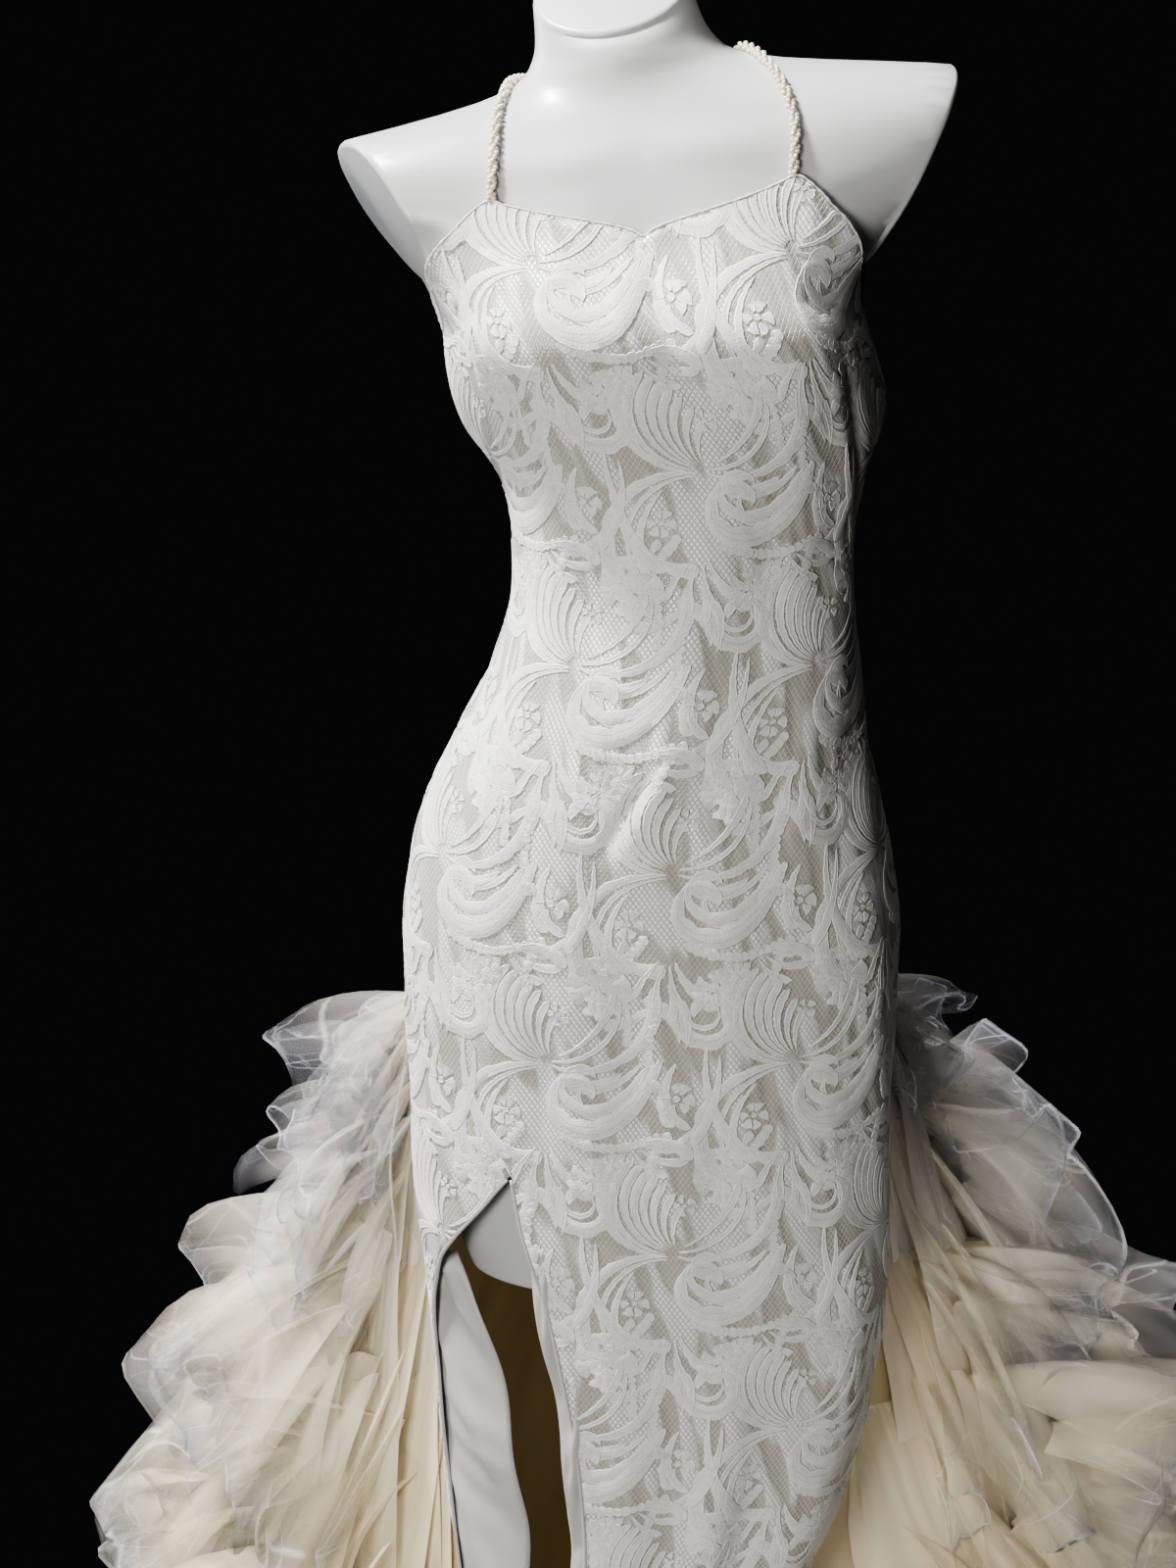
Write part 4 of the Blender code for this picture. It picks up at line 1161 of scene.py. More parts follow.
def sweep(points, radius, sides):
    """A round cord along points: its mesh's points, faces and UVs."""
    points = np.asarray(points, float)
    tangent = unit(np.gradient(points, axis=0))
    side = np.cross(tangent[0], ASKEW)
    frames = []
    for direction in tangent:
        side = side - direction * side.dot(direction)
        side = unit(side)
        frames.append((side, np.cross(direction, side)))
    frames = np.array(frames)
    turn = np.linspace(0, 2 * np.pi, sides + 1)[:-1]
    radius = np.broadcast_to(radius, len(points))
    across, up = np.cos(turn)[None, :, None], np.sin(turn)[None, :, None]
    ring = across * frames[:, None, 0] + up * frames[:, None, 1]
    mesh = points[:, None] + ring * radius[:, None, None]
    count = len(mesh) * sides
    faces = ring_faces(sides, len(points))
    faces += [list(range(sides))[::-1], list(range(count - sides, count))]
    along = lengths_along(points)[:, None]
    uvs = np.stack(np.broadcast_arrays(along, (turn * radius.mean())[None, :]), -1)
    return mesh.reshape(-1, 3), faces, uvs.reshape(-1, 2)


def cord_piece(name, points, radius, finish, sides=8):
    mesh, faces, uvs = sweep(points, radius, sides)
    return cloth_mesh(name, mesh, faces, uvs, finish)


STRAP_RADIUS = 0.0031
Knot = namedtuple("Knot", "x y z")
STRAP_ROUTE = (
    Knot(0.086, -0.048, 1.370),
    Knot(0.072, -0.012, 1.408),
    Knot(0.060, 0.030, 1.415),
    Knot(0.050, 0.066, 1.408),
    Knot(0.022, 0.090, 1.408),
    Knot(-0.016, 0.096, 1.404),
    Knot(-0.052, 0.088, 1.398),
    Knot(-0.078, 0.062, 1.392),
    Knot(-0.090, 0.028, 1.386),
    Knot(-0.098, -0.012, 1.378),
    Knot(-0.101, -0.046, 1.350),
)


def smooth_route(knots, steps):
    """A smooth curve's points through knots."""
    knots = np.array([2 * knots[0] - knots[1], *knots, 2 * knots[-1] - knots[-2]])
    t = (np.arange(steps) / steps)[:, None]
    points = []
    for a, b, c, d in zip(knots, knots[1:], knots[2:], knots[3:]):
        bend = (2 * a - 5 * b + 4 * c - d) * t * t + (3 * b - a - 3 * c + d) * t**3
        points.append(0.5 * (2 * b + (c - a) * t + bend))
    return np.concatenate([*points, knots[-2:-1]])


def even(points, pitch):
    """The same line with its points a pitch apart."""
    along = lengths_along(points)
    spots = np.linspace(0, along[-1], max(2, round(along[-1] / pitch) + 1))
    return np.stack([np.interp(spots, along, points[:, axis]) for axis in range(3)], 1)


# The front is cut in level rows up to the shoulder height, and from there in rows that end on
# the neckline. West of the slit is the wearer's right.
FRONT_SHOULDER = 1.150
WEST_COLUMNS = 18
EAST_COLUMNS = 46
SLIT_ROWS = 90
BODICE_ROWS = 66
NECK_ROWS = 26
ANGLES_READ = 401


def front_sheet(finish):
    """The front panel's cloth, one fine grid that the slit opens."""
    levels = np.concatenate(
        [
            np.linspace(HEM_HEIGHT, SLIT_TOP, SLIT_ROWS)[:-1],
            np.linspace(SLIT_TOP, FRONT_SHOULDER, BODICE_ROWS)[:-1],
            FRONT_SHOULDER + np.linspace(0, 1, NECK_ROWS),
        ]
    )
    us, heights, rows = [], [], []
    for level in levels:
        height = min(level, FRONT_SHOULDER)
        open_slit = level < SLIT_TOP - 1e-6
        west, east = front_columns(height, open_slit)
        row = np.concatenate([west, east])
        share = max(level - FRONT_SHOULDER, 0.0)
        tall = np.full(len(row), height)
        if share:
            angles = np.interp(row, *edge_angles())
            tall = height + (neckline(np.abs(angles)) - height) * share
            row = CLOTH.u_of(angles, tall)
        rows.append((sum(len(u) for u in us), open_slit))
        us.append(row)
        heights.append(tall)
    faces = []
    for (low, low_open), (high, high_open) in zip(rows, rows[1:]):
        low_east = low + WEST_COLUMNS - (0 if low_open else 1)
        high_east = high + WEST_COLUMNS - (0 if high_open else 1)
        for a, b, columns in ((low, high, WEST_COLUMNS), (low_east, high_east, EAST_COLUMNS)):
            faces += [(a + i, a + i + 1, b + i + 1, b + i) for i in range(columns - 1)]
    u, height = np.concatenate(us), np.concatenate(heights)
    return cloth_mesh("front_cloth", CLOTH.at(u, height), faces, np.stack([u, height], 1), finish)


def edge_angles():
    """The u and angle of the cloth round the figure at the shoulder level."""
    angles = np.linspace(-SIDE_SEAM, SIDE_SEAM, ANGLES_READ)
    return CLOTH.u_of(angles, np.full(ANGLES_READ, FRONT_SHOULDER)), angles


def back_top(angle):
    share = (np.abs(angle) - SIDE_SEAM) / (180 - SIDE_SEAM)
    return BACK_EDGE_SIDE + (BACK_EDGE_CENTRE - BACK_EDGE_SIDE) * np.sin(share * np.pi / 2) ** 1.5


BACK_COLUMNS = 46
BACK_ROWS = 70
BACK_START = 100.15
BACK_STOP = 179.85


def back_sheet(name, sign, finish):
    """One back panel's cloth, from the low back to the ruffle seam."""
    columns, rows = BACK_COLUMNS, BACK_ROWS
    angle = np.linspace(BACK_START, BACK_STOP, columns)[None, :] * np.ones((rows, 1))
    height = RUFFLE_SEAM + (back_top(angle) - RUFFLE_SEAM) * np.linspace(0, 1, rows)[:, None]
    u = CLOTH.u_of(sign * angle, height)
    faces = grid_faces(columns, rows)
    if sign < 0:
        faces = faces[:, ::-1]
    uvs = np.stack([u, height], axis=-1)
    return cloth_mesh(name, CLOTH.at(u, height), faces.tolist(), uvs, finish)


LINING_LEFT = (
    Edge(0.000, -38.0),
    Edge(0.200, -43.0),
    Edge(0.410, -50.0),
    Edge(0.500, -56.0),
    Edge(0.560, -61.0),
    Edge(0.600, -68.0),
    Edge(0.615, -74.0),
)
LINING_RIGHT = (
    Edge(0.000, -19.0),
    Edge(0.300, -24.0),
    Edge(0.413, -29.0),
    Edge(0.500, -34.5),
    Edge(0.602, -41.5),
    Edge(0.640, -42.5),
)
Strip = namedtuple("Strip", "name free_edge slit_edge tuck hang seat node")
LININGS = (
    Strip("lining_outer", LINING_LEFT, SLIT_LEFT, -9.0, 0.016, 0.0014, "lining_slit_outer"),
    Strip("lining_inner", LINING_RIGHT, SLIT_RIGHT, 9.0, 0.002, 0.0016, "lining_slit_inner"),
)
LINING_COLUMNS = 22
LINING_ROWS = 120
LINING_HEM = HEM_HEIGHT + 0.004
# Metres of width in each radian that a strip of lining turns through
LINING_TURN = 0.12
# Pulls in each metre of the lining's edge, and how deep they are
PULLS = 9
FINE_PULLS = 31
PULL_DEPTH = 0.0026
FINE_PULL_DEPTH = 0.0012
DRAG_DEPTH = 0.0035


def lining_sheet(strip, finish):
    """A strip of satin lining that shows in the slit, with the small pulls along its edge."""
    rows, columns = LINING_ROWS, LINING_COLUMNS
    levels = np.linspace(LINING_HEM, strip.free_edge[-1].height, rows)[:, None]
    share = np.linspace(0, 1, columns)[None, :]
    hidden = fitted(strip.slit_edge, "height", "angle")(levels) + strip.tuck
    free = fitted(strip.free_edge, "height", "angle")(levels)
    angle = hidden + (free - hidden) * share
    level = levels + 0 * share
    pulls = np.sin(level * 2 * np.pi * PULLS + 3 * share)
    fine = np.sin(level * 2 * np.pi * FINE_PULLS + 9 * share + 2 * np.sin(level * 40))
    drag = bump((level * PULLS + 1.6 * share) % 1.0 - 0.5, 0.09) * np.sin(np.pi * share) ** 0.6
    ripple = (PULL_DEPTH * pulls + FINE_PULL_DEPTH * fine * np.sin(np.pi * share)) * share
    inside = strip.seat + strip.hang * share**1.5 + (ripple - DRAG_DEPTH * drag)
    points = place(angle, level, dress_radius(angle, level) - inside)
    faces = grid_faces(columns, rows)
    if strip.tuck > 0:
        faces = faces[:, ::-1]
    across = np.radians(angle) * LINING_TURN
    return cloth_mesh(strip.name, points, faces.tolist(), np.stack([across, level], -1), finish)


TRAIN_COLUMNS = 90
TRAIN_ROWS = 36
TRAIN_LAP = 4
TRAIN_TURN = 0.3


def train_sheet(finish):
    """The skirt under the ruffles, which laps inside the front panel's side edges."""
    rows, columns = TRAIN_ROWS, TRAIN_COLUMNS
    level = np.linspace(HEM_HEIGHT, RUFFLE_SEAM, rows)[:, None] + np.zeros((1, columns))
    share = np.linspace(0, 1, columns)[None, :]
    start, stop = side_left(level) - TRAIN_LAP, 360 + TRAIN_LAP - side_right(level)
    angle = start + (stop - start) * share
    points = place(angle, level, train_radius(angle, level))
    uvs = np.stack([np.radians(angle) * TRAIN_TURN, level], axis=-1)
    return cloth_mesh("train_skirt_cloth", points, grid_faces(columns, rows).tolist(), uvs, finish)


def wander(share, rate, seed):
    """A smooth uneven line, the sum of a few sines."""
    rng = np.random.default_rng(seed)
    total = np.zeros_like(share)
    for k in range(1, 5):
        total = total + np.sin(2 * np.pi * share * rate * k * 0.61 + rng.uniform(0, 6.28)) / k
    return total / 1.6


Layer = namedtuple("Layer", "reach drop waves fine dense seed")
LAYERS = (
    Layer(0.10, 1.15, 1.2, 2.3, 2.2, 1),
    Layer(0.30, 1.10, 1.1, 1.9, 1.2, 2),
)
LAYER_COLUMNS = 300
LAYER_ROWS = 13
LAYER_INSET = 1.5
LAYER_LOWEST = 0.006
LAYER_WIDTH = 3
LAYER_DEPTH = 0.92
# Tier by tier: how many loops there are of each kind, and how much fuller they are at the start,
# on the wearer's left
PUFF_COUNT = (9, 10, 11, 12, 12, 12)
LEFT_FULLNESS = (-0.22, 0.42, -0.12, 0.0, 0.0, 0.0)
FULLNESS_SPREAD = 0.10
# The loops of these tiers rise less
DROOPING_TIERS = (1, 3)
DROOP = 10
# The lowest tier's loops lie flatter, so that they stay above the floor
FLOOR_RISE = -10
FLOOR_FALL = -52
LOOP_INSET = 7.0
LOOP_LOWEST = 0.008
LOOP_CLEAR = 0.006
LOOP_SEED = 60
BESIDE_FRONT = (0.0, 0.03, 0.07, 0.93, 0.97, 1.0)
# The loops of a tier: how many, how long, how they rise and then fall, and how wide and dense
Loops = namedtuple("Loops", "many reach rise fall width dense")
LOOPS = (
    Loops(1.0, 0.74, 10, -30, 0.66, 1.0),
    Loops(1.0, 1.02, -8, -62, 0.62, 0.9),
    Loops(0.8, 1.16, 4, -42, 0.72, 0.25),
    Loops(1.0, 1.10, -44, -86, 0.46, 1.3),
)


def tier_reach(tier, behind):
    """How far a tier stands out of the skirt, from its sides to its middle behind."""
    return tier.side_reach + (tier.back_reach - tier.side_reach) * behind**2


def ruffle_layer(number, tier, layer):
    """One continuous layer of net: gathered at its seam, and in soft folds to its hem."""
    share = np.linspace(0, 1, LAYER_COLUMNS)[None, :]
    t = np.linspace(0, 1, LAYER_ROWS)[:, None]
    seed = number * 10 + layer.seed
    left = side_left(tier.seam) + LAYER_INSET
    right = 360 - LAYER_INSET - side_right(tier.seam)
    angle = left + (right - left) * share
    behind = np.sin(share * np.pi)
    reach = tier_reach(tier, behind) * (0.6 + 0.4 * behind**0.4) * layer.reach
    beside = bump(share, 0.07) + bump(share - 1, 0.07)
    height = tier.seam + (tier.hem - tier.seam) * t * layer.drop * (1 + 1.2 * beside)
    turns = 2 * np.pi * tier.waves * layer.waves * share + 1.6 * wander(share, 5, seed)
    small = 2 * np.pi * tier.waves * layer.fine * share + 1.5 * wander(share, 9, seed + 1)
    fold = np.sin(turns + 0.8 * t * wander(share, 7, seed + 3)) * 0.7 + np.sin(small + 1.2 * t) * 0.3
    gathers = 0.0014 * np.sin(small * 3.1) * np.exp(-5 * t)
    swell = tier.depth * layer.reach * (t + 0.1)
    radius = train_radius(angle, np.maximum(height, HEM_HEIGHT)) + tier.start
    radius = radius + reach * way_reach(np.minimum(t * 1.4, 1.0)) + swell * (1 + fold) + gathers
    turned = angle + np.degrees(0.7 * swell * np.cos(turns) / radius)
    return place(turned, np.maximum(height, LAYER_LOWEST), radius)


def outside_skirt(points, gap):
    """Points moved out, where they fall short, to lie a gap outside the skirt."""
    height = np.clip(points[..., 2], HEM_HEIGHT, RUFFLE_SEAM)
    middle = np.stack([spine_x(height), spine_y(height)], -1)
    away = points[..., :2] - middle
    angle = np.degrees(np.arctan2(away[..., 0], -away[..., 1]))
    radius = np.maximum(np.linalg.norm(away, axis=-1), 0.01)
    grown = np.maximum((train_radius(angle, height) + gap) / radius, 1.0)
    return np.concatenate([middle + away * grown[..., None], points[..., 2:]], -1)


class Puffs:
    """One tier of net: many gathered loops, each a fan of folds from its own root."""

    rows_out, rows_back, rows_end, columns = 11, 6, 0.35, 40
    # How far a loop may differ from the others: by a share, in metres or in degrees
    along_seam = (-0.4, 0.4)
    beside_front = (0.0, 0.7)
    sizes = (0.84, 1.12)
    widths = (0.85, 1.2)
    below_seam = (-0.030, -0.004)
    turns = (-16, 16)
    rises = (-12, 12)
    falls = (-14, 14)
    tilts = (-0.7, 0.7)
    waves = (1.5, 2.6)

    def __init__(self, number, tier, count):
        self.rng = np.random.default_rng(LOOP_SEED + number)
        self.tier, self.number = tier, number
        self.points, self.uvs, self.dense, self.faces, self.total = [], [], [], [], 0
        for loops in LOOPS:
            many = round(count * loops.many)
            for k in range(many):
                share = (k + 0.5 + self.rng.uniform(*self.along_seam)) / many
                self.add(share, loops)
        drop = tier.seam - tier.hem
        for share in BESIDE_FRONT:
            self.add(share, LOOPS[-1], self.rng.uniform(*self.beside_front) * drop)

    def add(self, share, loops, below=0.0):
        tier, rng = self.tier, self.rng
        left = side_left(tier.seam) + LOOP_INSET
        right = 360 - LOOP_INSET - side_right(tier.seam)
        angle = left + (right - left) * share
        behind = math.sin(share * math.pi)
        fuller = LEFT_FULLNESS[self.number - 1] * bump(share, FULLNESS_SPREAD)
        fullness = 0.56 + 0.44 * behind**0.4 + fuller
        out = tier_reach(tier, behind) * fullness
        out *= loops.reach * rng.uniform(*self.sizes)
        root_height = tier.seam + rng.uniform(*self.below_seam) - below
        root = place(angle, root_height, train_radius(angle, root_height) + 0.5 * tier.start)
        back_turn = 14 * math.cos(share * math.pi) * (1 - behind) ** 2
        way = math.radians(angle + back_turn + rng.uniform(*self.turns))
        outward = np.array([math.sin(way), -math.cos(way), 0.0])
        tilt = rng.uniform(*self.tilts)
        level = np.array([math.cos(way), math.sin(way), 0.0])
        sideways = level * math.cos(tilt) + np.array([0.0, 0.0, math.sin(tilt)])
        rise, fall = loops.rise, loops.fall
        if self.number in DROOPING_TIERS:
            rise -= DROOP
        if self.number == len(TIERS):
            rise, fall = min(rise, FLOOR_RISE), max(fall, FLOOR_FALL)
        steep = (rise + rng.uniform(*self.rises), fall + rng.uniform(*self.falls))
        longer = out * 1.12 / max(math.cos(math.radians((steep[0] + steep[1]) / 2)), 0.6)
        half = rng.uniform(*self.widths) * loops.width * out + 0.022
        grid, dense = self.loop(longer, steep, half, outward, sideways)
        grid = grid + root
        grid[..., 2] = np.maximum(grid[..., 2], LOOP_LOWEST + 0.01 * np.abs(dense))
        grid = outside_skirt(grid, LOOP_CLEAR + 0.004 * np.abs(dense))
        rows, columns = grid.shape[:2]
        self.points.append(grid.reshape(-1, 3))
        self.dense.append(np.where(dense > 0, dense * loops.dense, dense).ravel())
        self.faces.append(grid_faces(columns, rows, first=self.total)[:, ::-1])
        t = self.there_and_back(0.96)
        a = np.linspace(-1, 1, columns) * half + 0.7 * len(self.faces)
        self.uvs.append(np.stack(np.broadcast_arrays(a[None, :], t[:, None]), -1).reshape(-1, 2))
        self.total += rows * columns

    def there_and_back(self, first):
        """The rows of a loop: out from 0 to 1, and back under it from the first one."""
        back = np.linspace(first, self.rows_end, self.rows_back)
        return np.concatenate([np.linspace(0, 1, self.rows_out), back])

    def loop(self, out, steep, half, outward, sideways):
        """Out to a rounded fold and part of the way back under it, about its own root."""
        rng = self.rng
        t = self.there_and_back(0.97)[:, None]
        under = np.concatenate([np.zeros(self.rows_out), np.linspace(0.10, 1, self.rows_back)])[:, None]
        a = np.linspace(-1, 1, self.columns)[None, :]
        phases = rng.uniform(0, 6.28, 8)
        waves = rng.uniform(*self.waves)
        edge = 1 - 0.34 * a * a + 0.07 * np.sin(3.1 * a + phases[0]) + 0.030 * np.sin(9 * a + phases[1])
        edge = edge + 0.018 * np.sin(19 * a + phases[6])
        reach = t * edge
        slope = np.radians(steep[0] + (steep[1] - steep[0]) * reach)
        middle = np.radians(steep[0] + (steep[1] - steep[0]) * reach * 0.5)
        forward, upward = out * reach * np.cos(middle), out * reach * np.sin(middle)
        grown = t**0.75
        swing = 0.22 * t * np.sin(2.0 * t + phases[2])
        turn = np.pi * waves * a + phases[3] + 1.3 * np.sin(1.9 * t + phases[4]) + 0.9 * under
        fine = np.pi * 2.9 * waves * a + phases[5] - 1.6 * t + 0.8 * np.sin(3 * t + phases[7])
        fold = np.sin(turn) + 0.30 * np.sin(fine) * (1.2 - 0.6 * t)
        deep = half * 0.15 * grown * (1 - 0.3 * under) * (1 - 0.3 * ease_in((t - 0.7) / 0.3))
        across = half * (a + swing) * grown * (1 - 0.1 * under) + 0.005 * a
        lap = 1.6 - 0.6 * ease_in((t - 0.75) / 0.25)
        across = across - lap * half * grown / (2 * np.pi * waves) * np.sin(2 * turn)
        lift = fold * deep - half * t * (0.34 * a * a + 0.26 * a**6) - 0.22 * half * under**0.7
        forward = forward - np.sin(slope) * lift
        upward = upward + np.cos(slope) * lift
        up = np.array([0.0, 0.0, 1.0])
        grid = forward[..., None] * outward + across[..., None] * sideways + upward[..., None] * up
        dense = 0.42 * np.abs(np.cos(turn)) ** 3 + 0.28 * np.abs(np.cos(fine)) ** 6
        dense = dense + 0.12 + 0.6 * bump(t, 0.16)
        return grid, np.clip(dense, 0, 1) * (1 - a**8) - 0.35 * a**8


def ruffle_piece(number, tier, finish):
    """A tier of net: continuous gathered layers, and the loops that stand out of them."""
    columns, rows = LAYER_COLUMNS, LAYER_ROWS
    points, uvs, faces, dense, total = [], [], [], [], 0
    for layer in LAYERS:
        spots = ruffle_layer(number, tier, layer)
        faces.append(grid_faces(columns, rows, first=total)[:, ::-1])
        across, out = np.linspace(0, LAYER_WIDTH, columns), np.linspace(0, LAYER_DEPTH, rows)
        points.append(spots.reshape(-1, 3))
        uvs.append(np.stack(np.meshgrid(across, out), axis=-1).reshape(-1, 2))
        dense.append(np.full(columns * rows, layer.dense))
        total += columns * rows
    puffs = Puffs(number, tier, PUFF_COUNT[number - 1])
    points, uvs, dense = points + puffs.points, uvs + puffs.uvs, dense + puffs.dense
    faces = faces + [face + total for face in puffs.faces]
    name, faces = f"ruffle_net_{number}", np.concatenate(faces).tolist()
    piece = cloth_mesh(name, np.concatenate(points), faces, np.concatenate(uvs), finish)
    mark(piece, "closeness", np.concatenate(dense))
    return piece


def colour(name, description, value):
    return bpy.props.FloatVectorProperty(
        name=name, description=description, default=value, size=3, subtype="COLOR", min=0, max=1
    )


def length(name, description, value):
    return bpy.props.FloatProperty(name=name, description=description, default=value, unit="LENGTH")


def share(name, description, value):
    return bpy.props.FloatProperty(
        name=name, description=description, default=value, subtype="FACTOR", min=0, max=1
    )


class DressSettings(bpy.types.PropertyGroup):
    """Colours and sizes of the dress's cloth."""

    lace: colour("Lace", "Thread of the lace", (0.79, 0.78, 0.74))
    lace_shade: colour("Lace shade", "Thread of the lace where it lies deeper", (0.58, 0.565, 0.51))
    # Painted highlight colour for the raised cord round each leaf.
    lace_cord_highlight: colour("Lace cord", "Cord round each leaf of the lace", (0.90, 0.895, 0.87))
    # Painted shadow colour, for the line along each leaf's edge and its grooves.
    lace_line_shadow: colour("Lace line", "Shaded outline of each leaf of the lace", (0.40, 0.37, 0.30))
    satin: colour("Satin", "Linings and piping of the slit", (0.50, 0.49, 0.46))
    # The lining's brown-yellow is partly its own colour and partly painted: the shade behind the slit,
    # and the warm light through the net.
    skirt_lining_and_painted_light: colour("Skirt lining", "Lining of the skirt behind the slit", (0.52, 0.42, 0.22))
    # Painted glow: light of the lining's own, standing for the light that comes through the net.
    skirt_painted_glow: colour("Skirt glow", "Daylight that comes through the skirt", (0.024, 0.018, 0.008))
    # Painted shade and painted highlight: two copies of one satin under the lace's net.
    satin_shade: colour("Satin shade", "Satin that the net shades", (0.44, 0.42, 0.35))
    satin_lit: colour("Lit satin", "Satin on the soft folds under the net", (0.98, 0.98, 0.96))
    tulle: colour("Net", "Body of the upper ruffles", (0.86, 0.82, 0.77))
    tulle_low: colour("Low net", "Body of the lower ruffles", (0.86, 0.77, 0.56))
    tulle_deep: colour("Deep net", "Ruffles near their seams", (0.90, 0.79, 0.56))
    tulle_edge: colour("Net edge", "Folded edges of the upper ruffles", (0.84, 0.85, 0.96))
    pearl: colour("Pearl", "Darker beads", (0.72, 0.64, 0.50))
    pearl_light: colour("Light pearl", "Lighter beads", (0.84, 0.79, 0.68))
    net_flat: share("Flat net", "How much of a ray one flat layer of the ruffles stops", 0.09)
    net_folded: share("Folded net", "How much more a closely folded layer stops", 0.30)
    net_body: share("Net body", "How much more the net stops near its seam, in many folds", 0.34)
    net_crease: share("Creased net", "How much more a crease of the net stops", 0.28)
    net_cell: length("Net cell", "Width of a cell of the lace's net", 0.0036)
    cloth_wall: length("Cloth wall", "Thickness of the lace on its satin", 0.0012)
    satin_wall: length("Satin wall", "Thickness of the linings", 0.0008)
    piping: length("Piping", "Radius of the piping in the slit", 0.0013)
    bead: length("Bead", "Width of a bead of the strap", 0.0033)
    twist: length("Twist", "Length of one turn of the strap", 0.030)


class FormSettings(bpy.types.PropertyGroup):
    """Colours of the dress form and its stand."""

    paint: colour("Paint", "Gloss paint of the form", (0.49, 0.495, 0.49))
    steel: colour("Steel", "Brushed metal of the stand", (0.56, 0.56, 0.57))
    cut_edge: length("Cut edge", "Rounding of the form's cut edges", 0.0040)


class StageSettings(bpy.types.PropertyGroup):
    """The studio."""

    backdrop: colour("Backdrop", "Studio behind the dress", (0.006, 0.006, 0.007))
    floor: colour("Floor", "Round plinth under the dress", (0.72, 0.71, 0.69))
    lens: bpy.props.FloatProperty(
        name="Lens", description="Focal length", default=83.07, unit="CAMERA"
    )


# The lengths that the sheets are cut to, measured along the cloth
FRONT_LENGTH = 1.31
BACK_LENGTH = 0.36
LINING_LENGTH = 0.61
TRAIN_LENGTH = 0.9
NET_LENGTH = 0.20
# Heights at which the front's raised lace is parted into pieces
LACE_SPLITS = (0.42, 0.84)


class DRESS_OT_form(bpy.types.Operator):
    """Build the painted torso, cut flat at the neck, arms and thighs."""

    bl_idname = "dress.form"
    bl_label = "Dress form"
    columns = 132
    rows = 200
    crisp_angle = 40
    arms_above = 1.20
    rim_merge = 0.0012

    def execute(self, context):
        settings = context.scene.dress_form
        low, high = FORM[0].height + settings.cut_edge, FORM[-1].height - settings.cut_edge
        turns = np.linspace(0, 360, self.columns + 1)[:-1]
        angle, level = np.meshgrid(turns, np.linspace(low, high, self.rows))
        turned = half_turn(angle)
        radius = form_radius(angle, level) + swelling(COLLARBONE, turned, level)
        points = place(angle, level, radius)
        faces = ring_faces(self.columns, self.rows)
        uvs = np.stack([turned / 360, level], axis=-1)
        piece = cloth_mesh("form_shell", points, faces, uvs, form_finish(settings))
        shape = bmesh.new()
        shape.from_mesh(piece.data)
        for cut in ARM_CUTS:
            self.cut_arm(shape, cut, settings.cut_edge)
        self.close_cuts(shape, settings.cut_edge)
        self.order_faces(shape)
        for face in shape.faces:
            face.smooth = True
        shape.to_mesh(piece.data)
        shape.free()
        crisp(piece, self.crisp_angle)
        belongs(piece, "form", "form_torso")
        return {"FINISHED"}

    def cut_arm(self, shape, cut, inset):
        """Cuts one arm off flat, an inset short of its end."""
        outwards = Vector(cut.outwards).normalized()
        high = [v for v in shape.verts if v.co.z > self.arms_above]
        near = dict.fromkeys(f for v in high for f in v.link_faces)
        edges = dict.fromkeys(e for f in near for e in f.edges)
        bmesh.ops.bisect_plane(
            shape,
            geom=[*high, *edges, *near],
            plane_co=Vector(cut.armpit) - outwards * inset,
            plane_no=outwards,
            clear_outer=True,
        )
        rim = dict.fromkeys(v for e in shape.edges if e.is_boundary for v in e.verts)
        bmesh.ops.remove_doubles(shape, verts=list(rim), dist=self.rim_merge)

    @staticmethod
    def close_cuts(shape, radius):
        """Closes each open rim with a flat face that has a rounded edge, rim by rim in order."""
        open_edges = dict.fromkeys(e for e in shape.edges if e.is_boundary)
        while open_edges:
            rim = [open_edges.popitem()[0]]
            for edge in rim:
                beside = (e for v in edge.verts for e in v.link_edges)
                for near in dict.fromkeys(e for e in beside if e in open_edges):
                    del open_edges[near]
                    rim.append(near)
            start = {v: v.co.copy() for e in rim for v in e.verts}
            middle = sum(start.values(), Vector()) / len(start)
            inner = [f.calc_center_median() for e in rim for f in e.link_faces]
            body = sum(inner, Vector()) / len(inner)
            first, *rest = start.values()
            sides = [(spot - middle).cross(first - middle) for spot in rest]
            outwards = max(sides, key=lambda side: side.length).normalized()
            if outwards.dot(middle - body) < 0:
                outwards = -outwards
            for step in range(1, ROUND_STEPS + 1):
                turn = math.pi / 2 * step / ROUND_STEPS
                made = bmesh.ops.extrude_edge_only(shape, edges=rim)["geom"]
                rim = [g for g in made if isinstance(g, bmesh.types.BMEdge) and g.is_boundary]
                before = math.pi / 2 * (step - 1) / ROUND_STEPS
                for vertex in {v for e in rim for v in e.verts}:
                    inwards = (middle - vertex.co) - outwards * (middle - vertex.co).dot(outwards)
                    vertex.co += outwards * radius * (math.sin(turn) - math.sin(before))
                    vertex.co += inwards.normalized() * radius * (math.cos(before) - math.cos(turn))
            bmesh.ops.contextual_create(shape, geom=rim)
        bmesh.ops.recalc_face_normals(shape, faces=shape.faces)

    @staticmethod
    def order_faces(shape):
        """Sorts the faces, because an extrusion adds its own in another order on every run."""
        shape.verts.index_update()
        ordered = sorted(shape.faces, key=lambda face: sorted(v.index for v in face.verts))
        ranks = {face: rank for rank, face in enumerate(ordered)}
        shape.faces.sort(key=ranks.get)


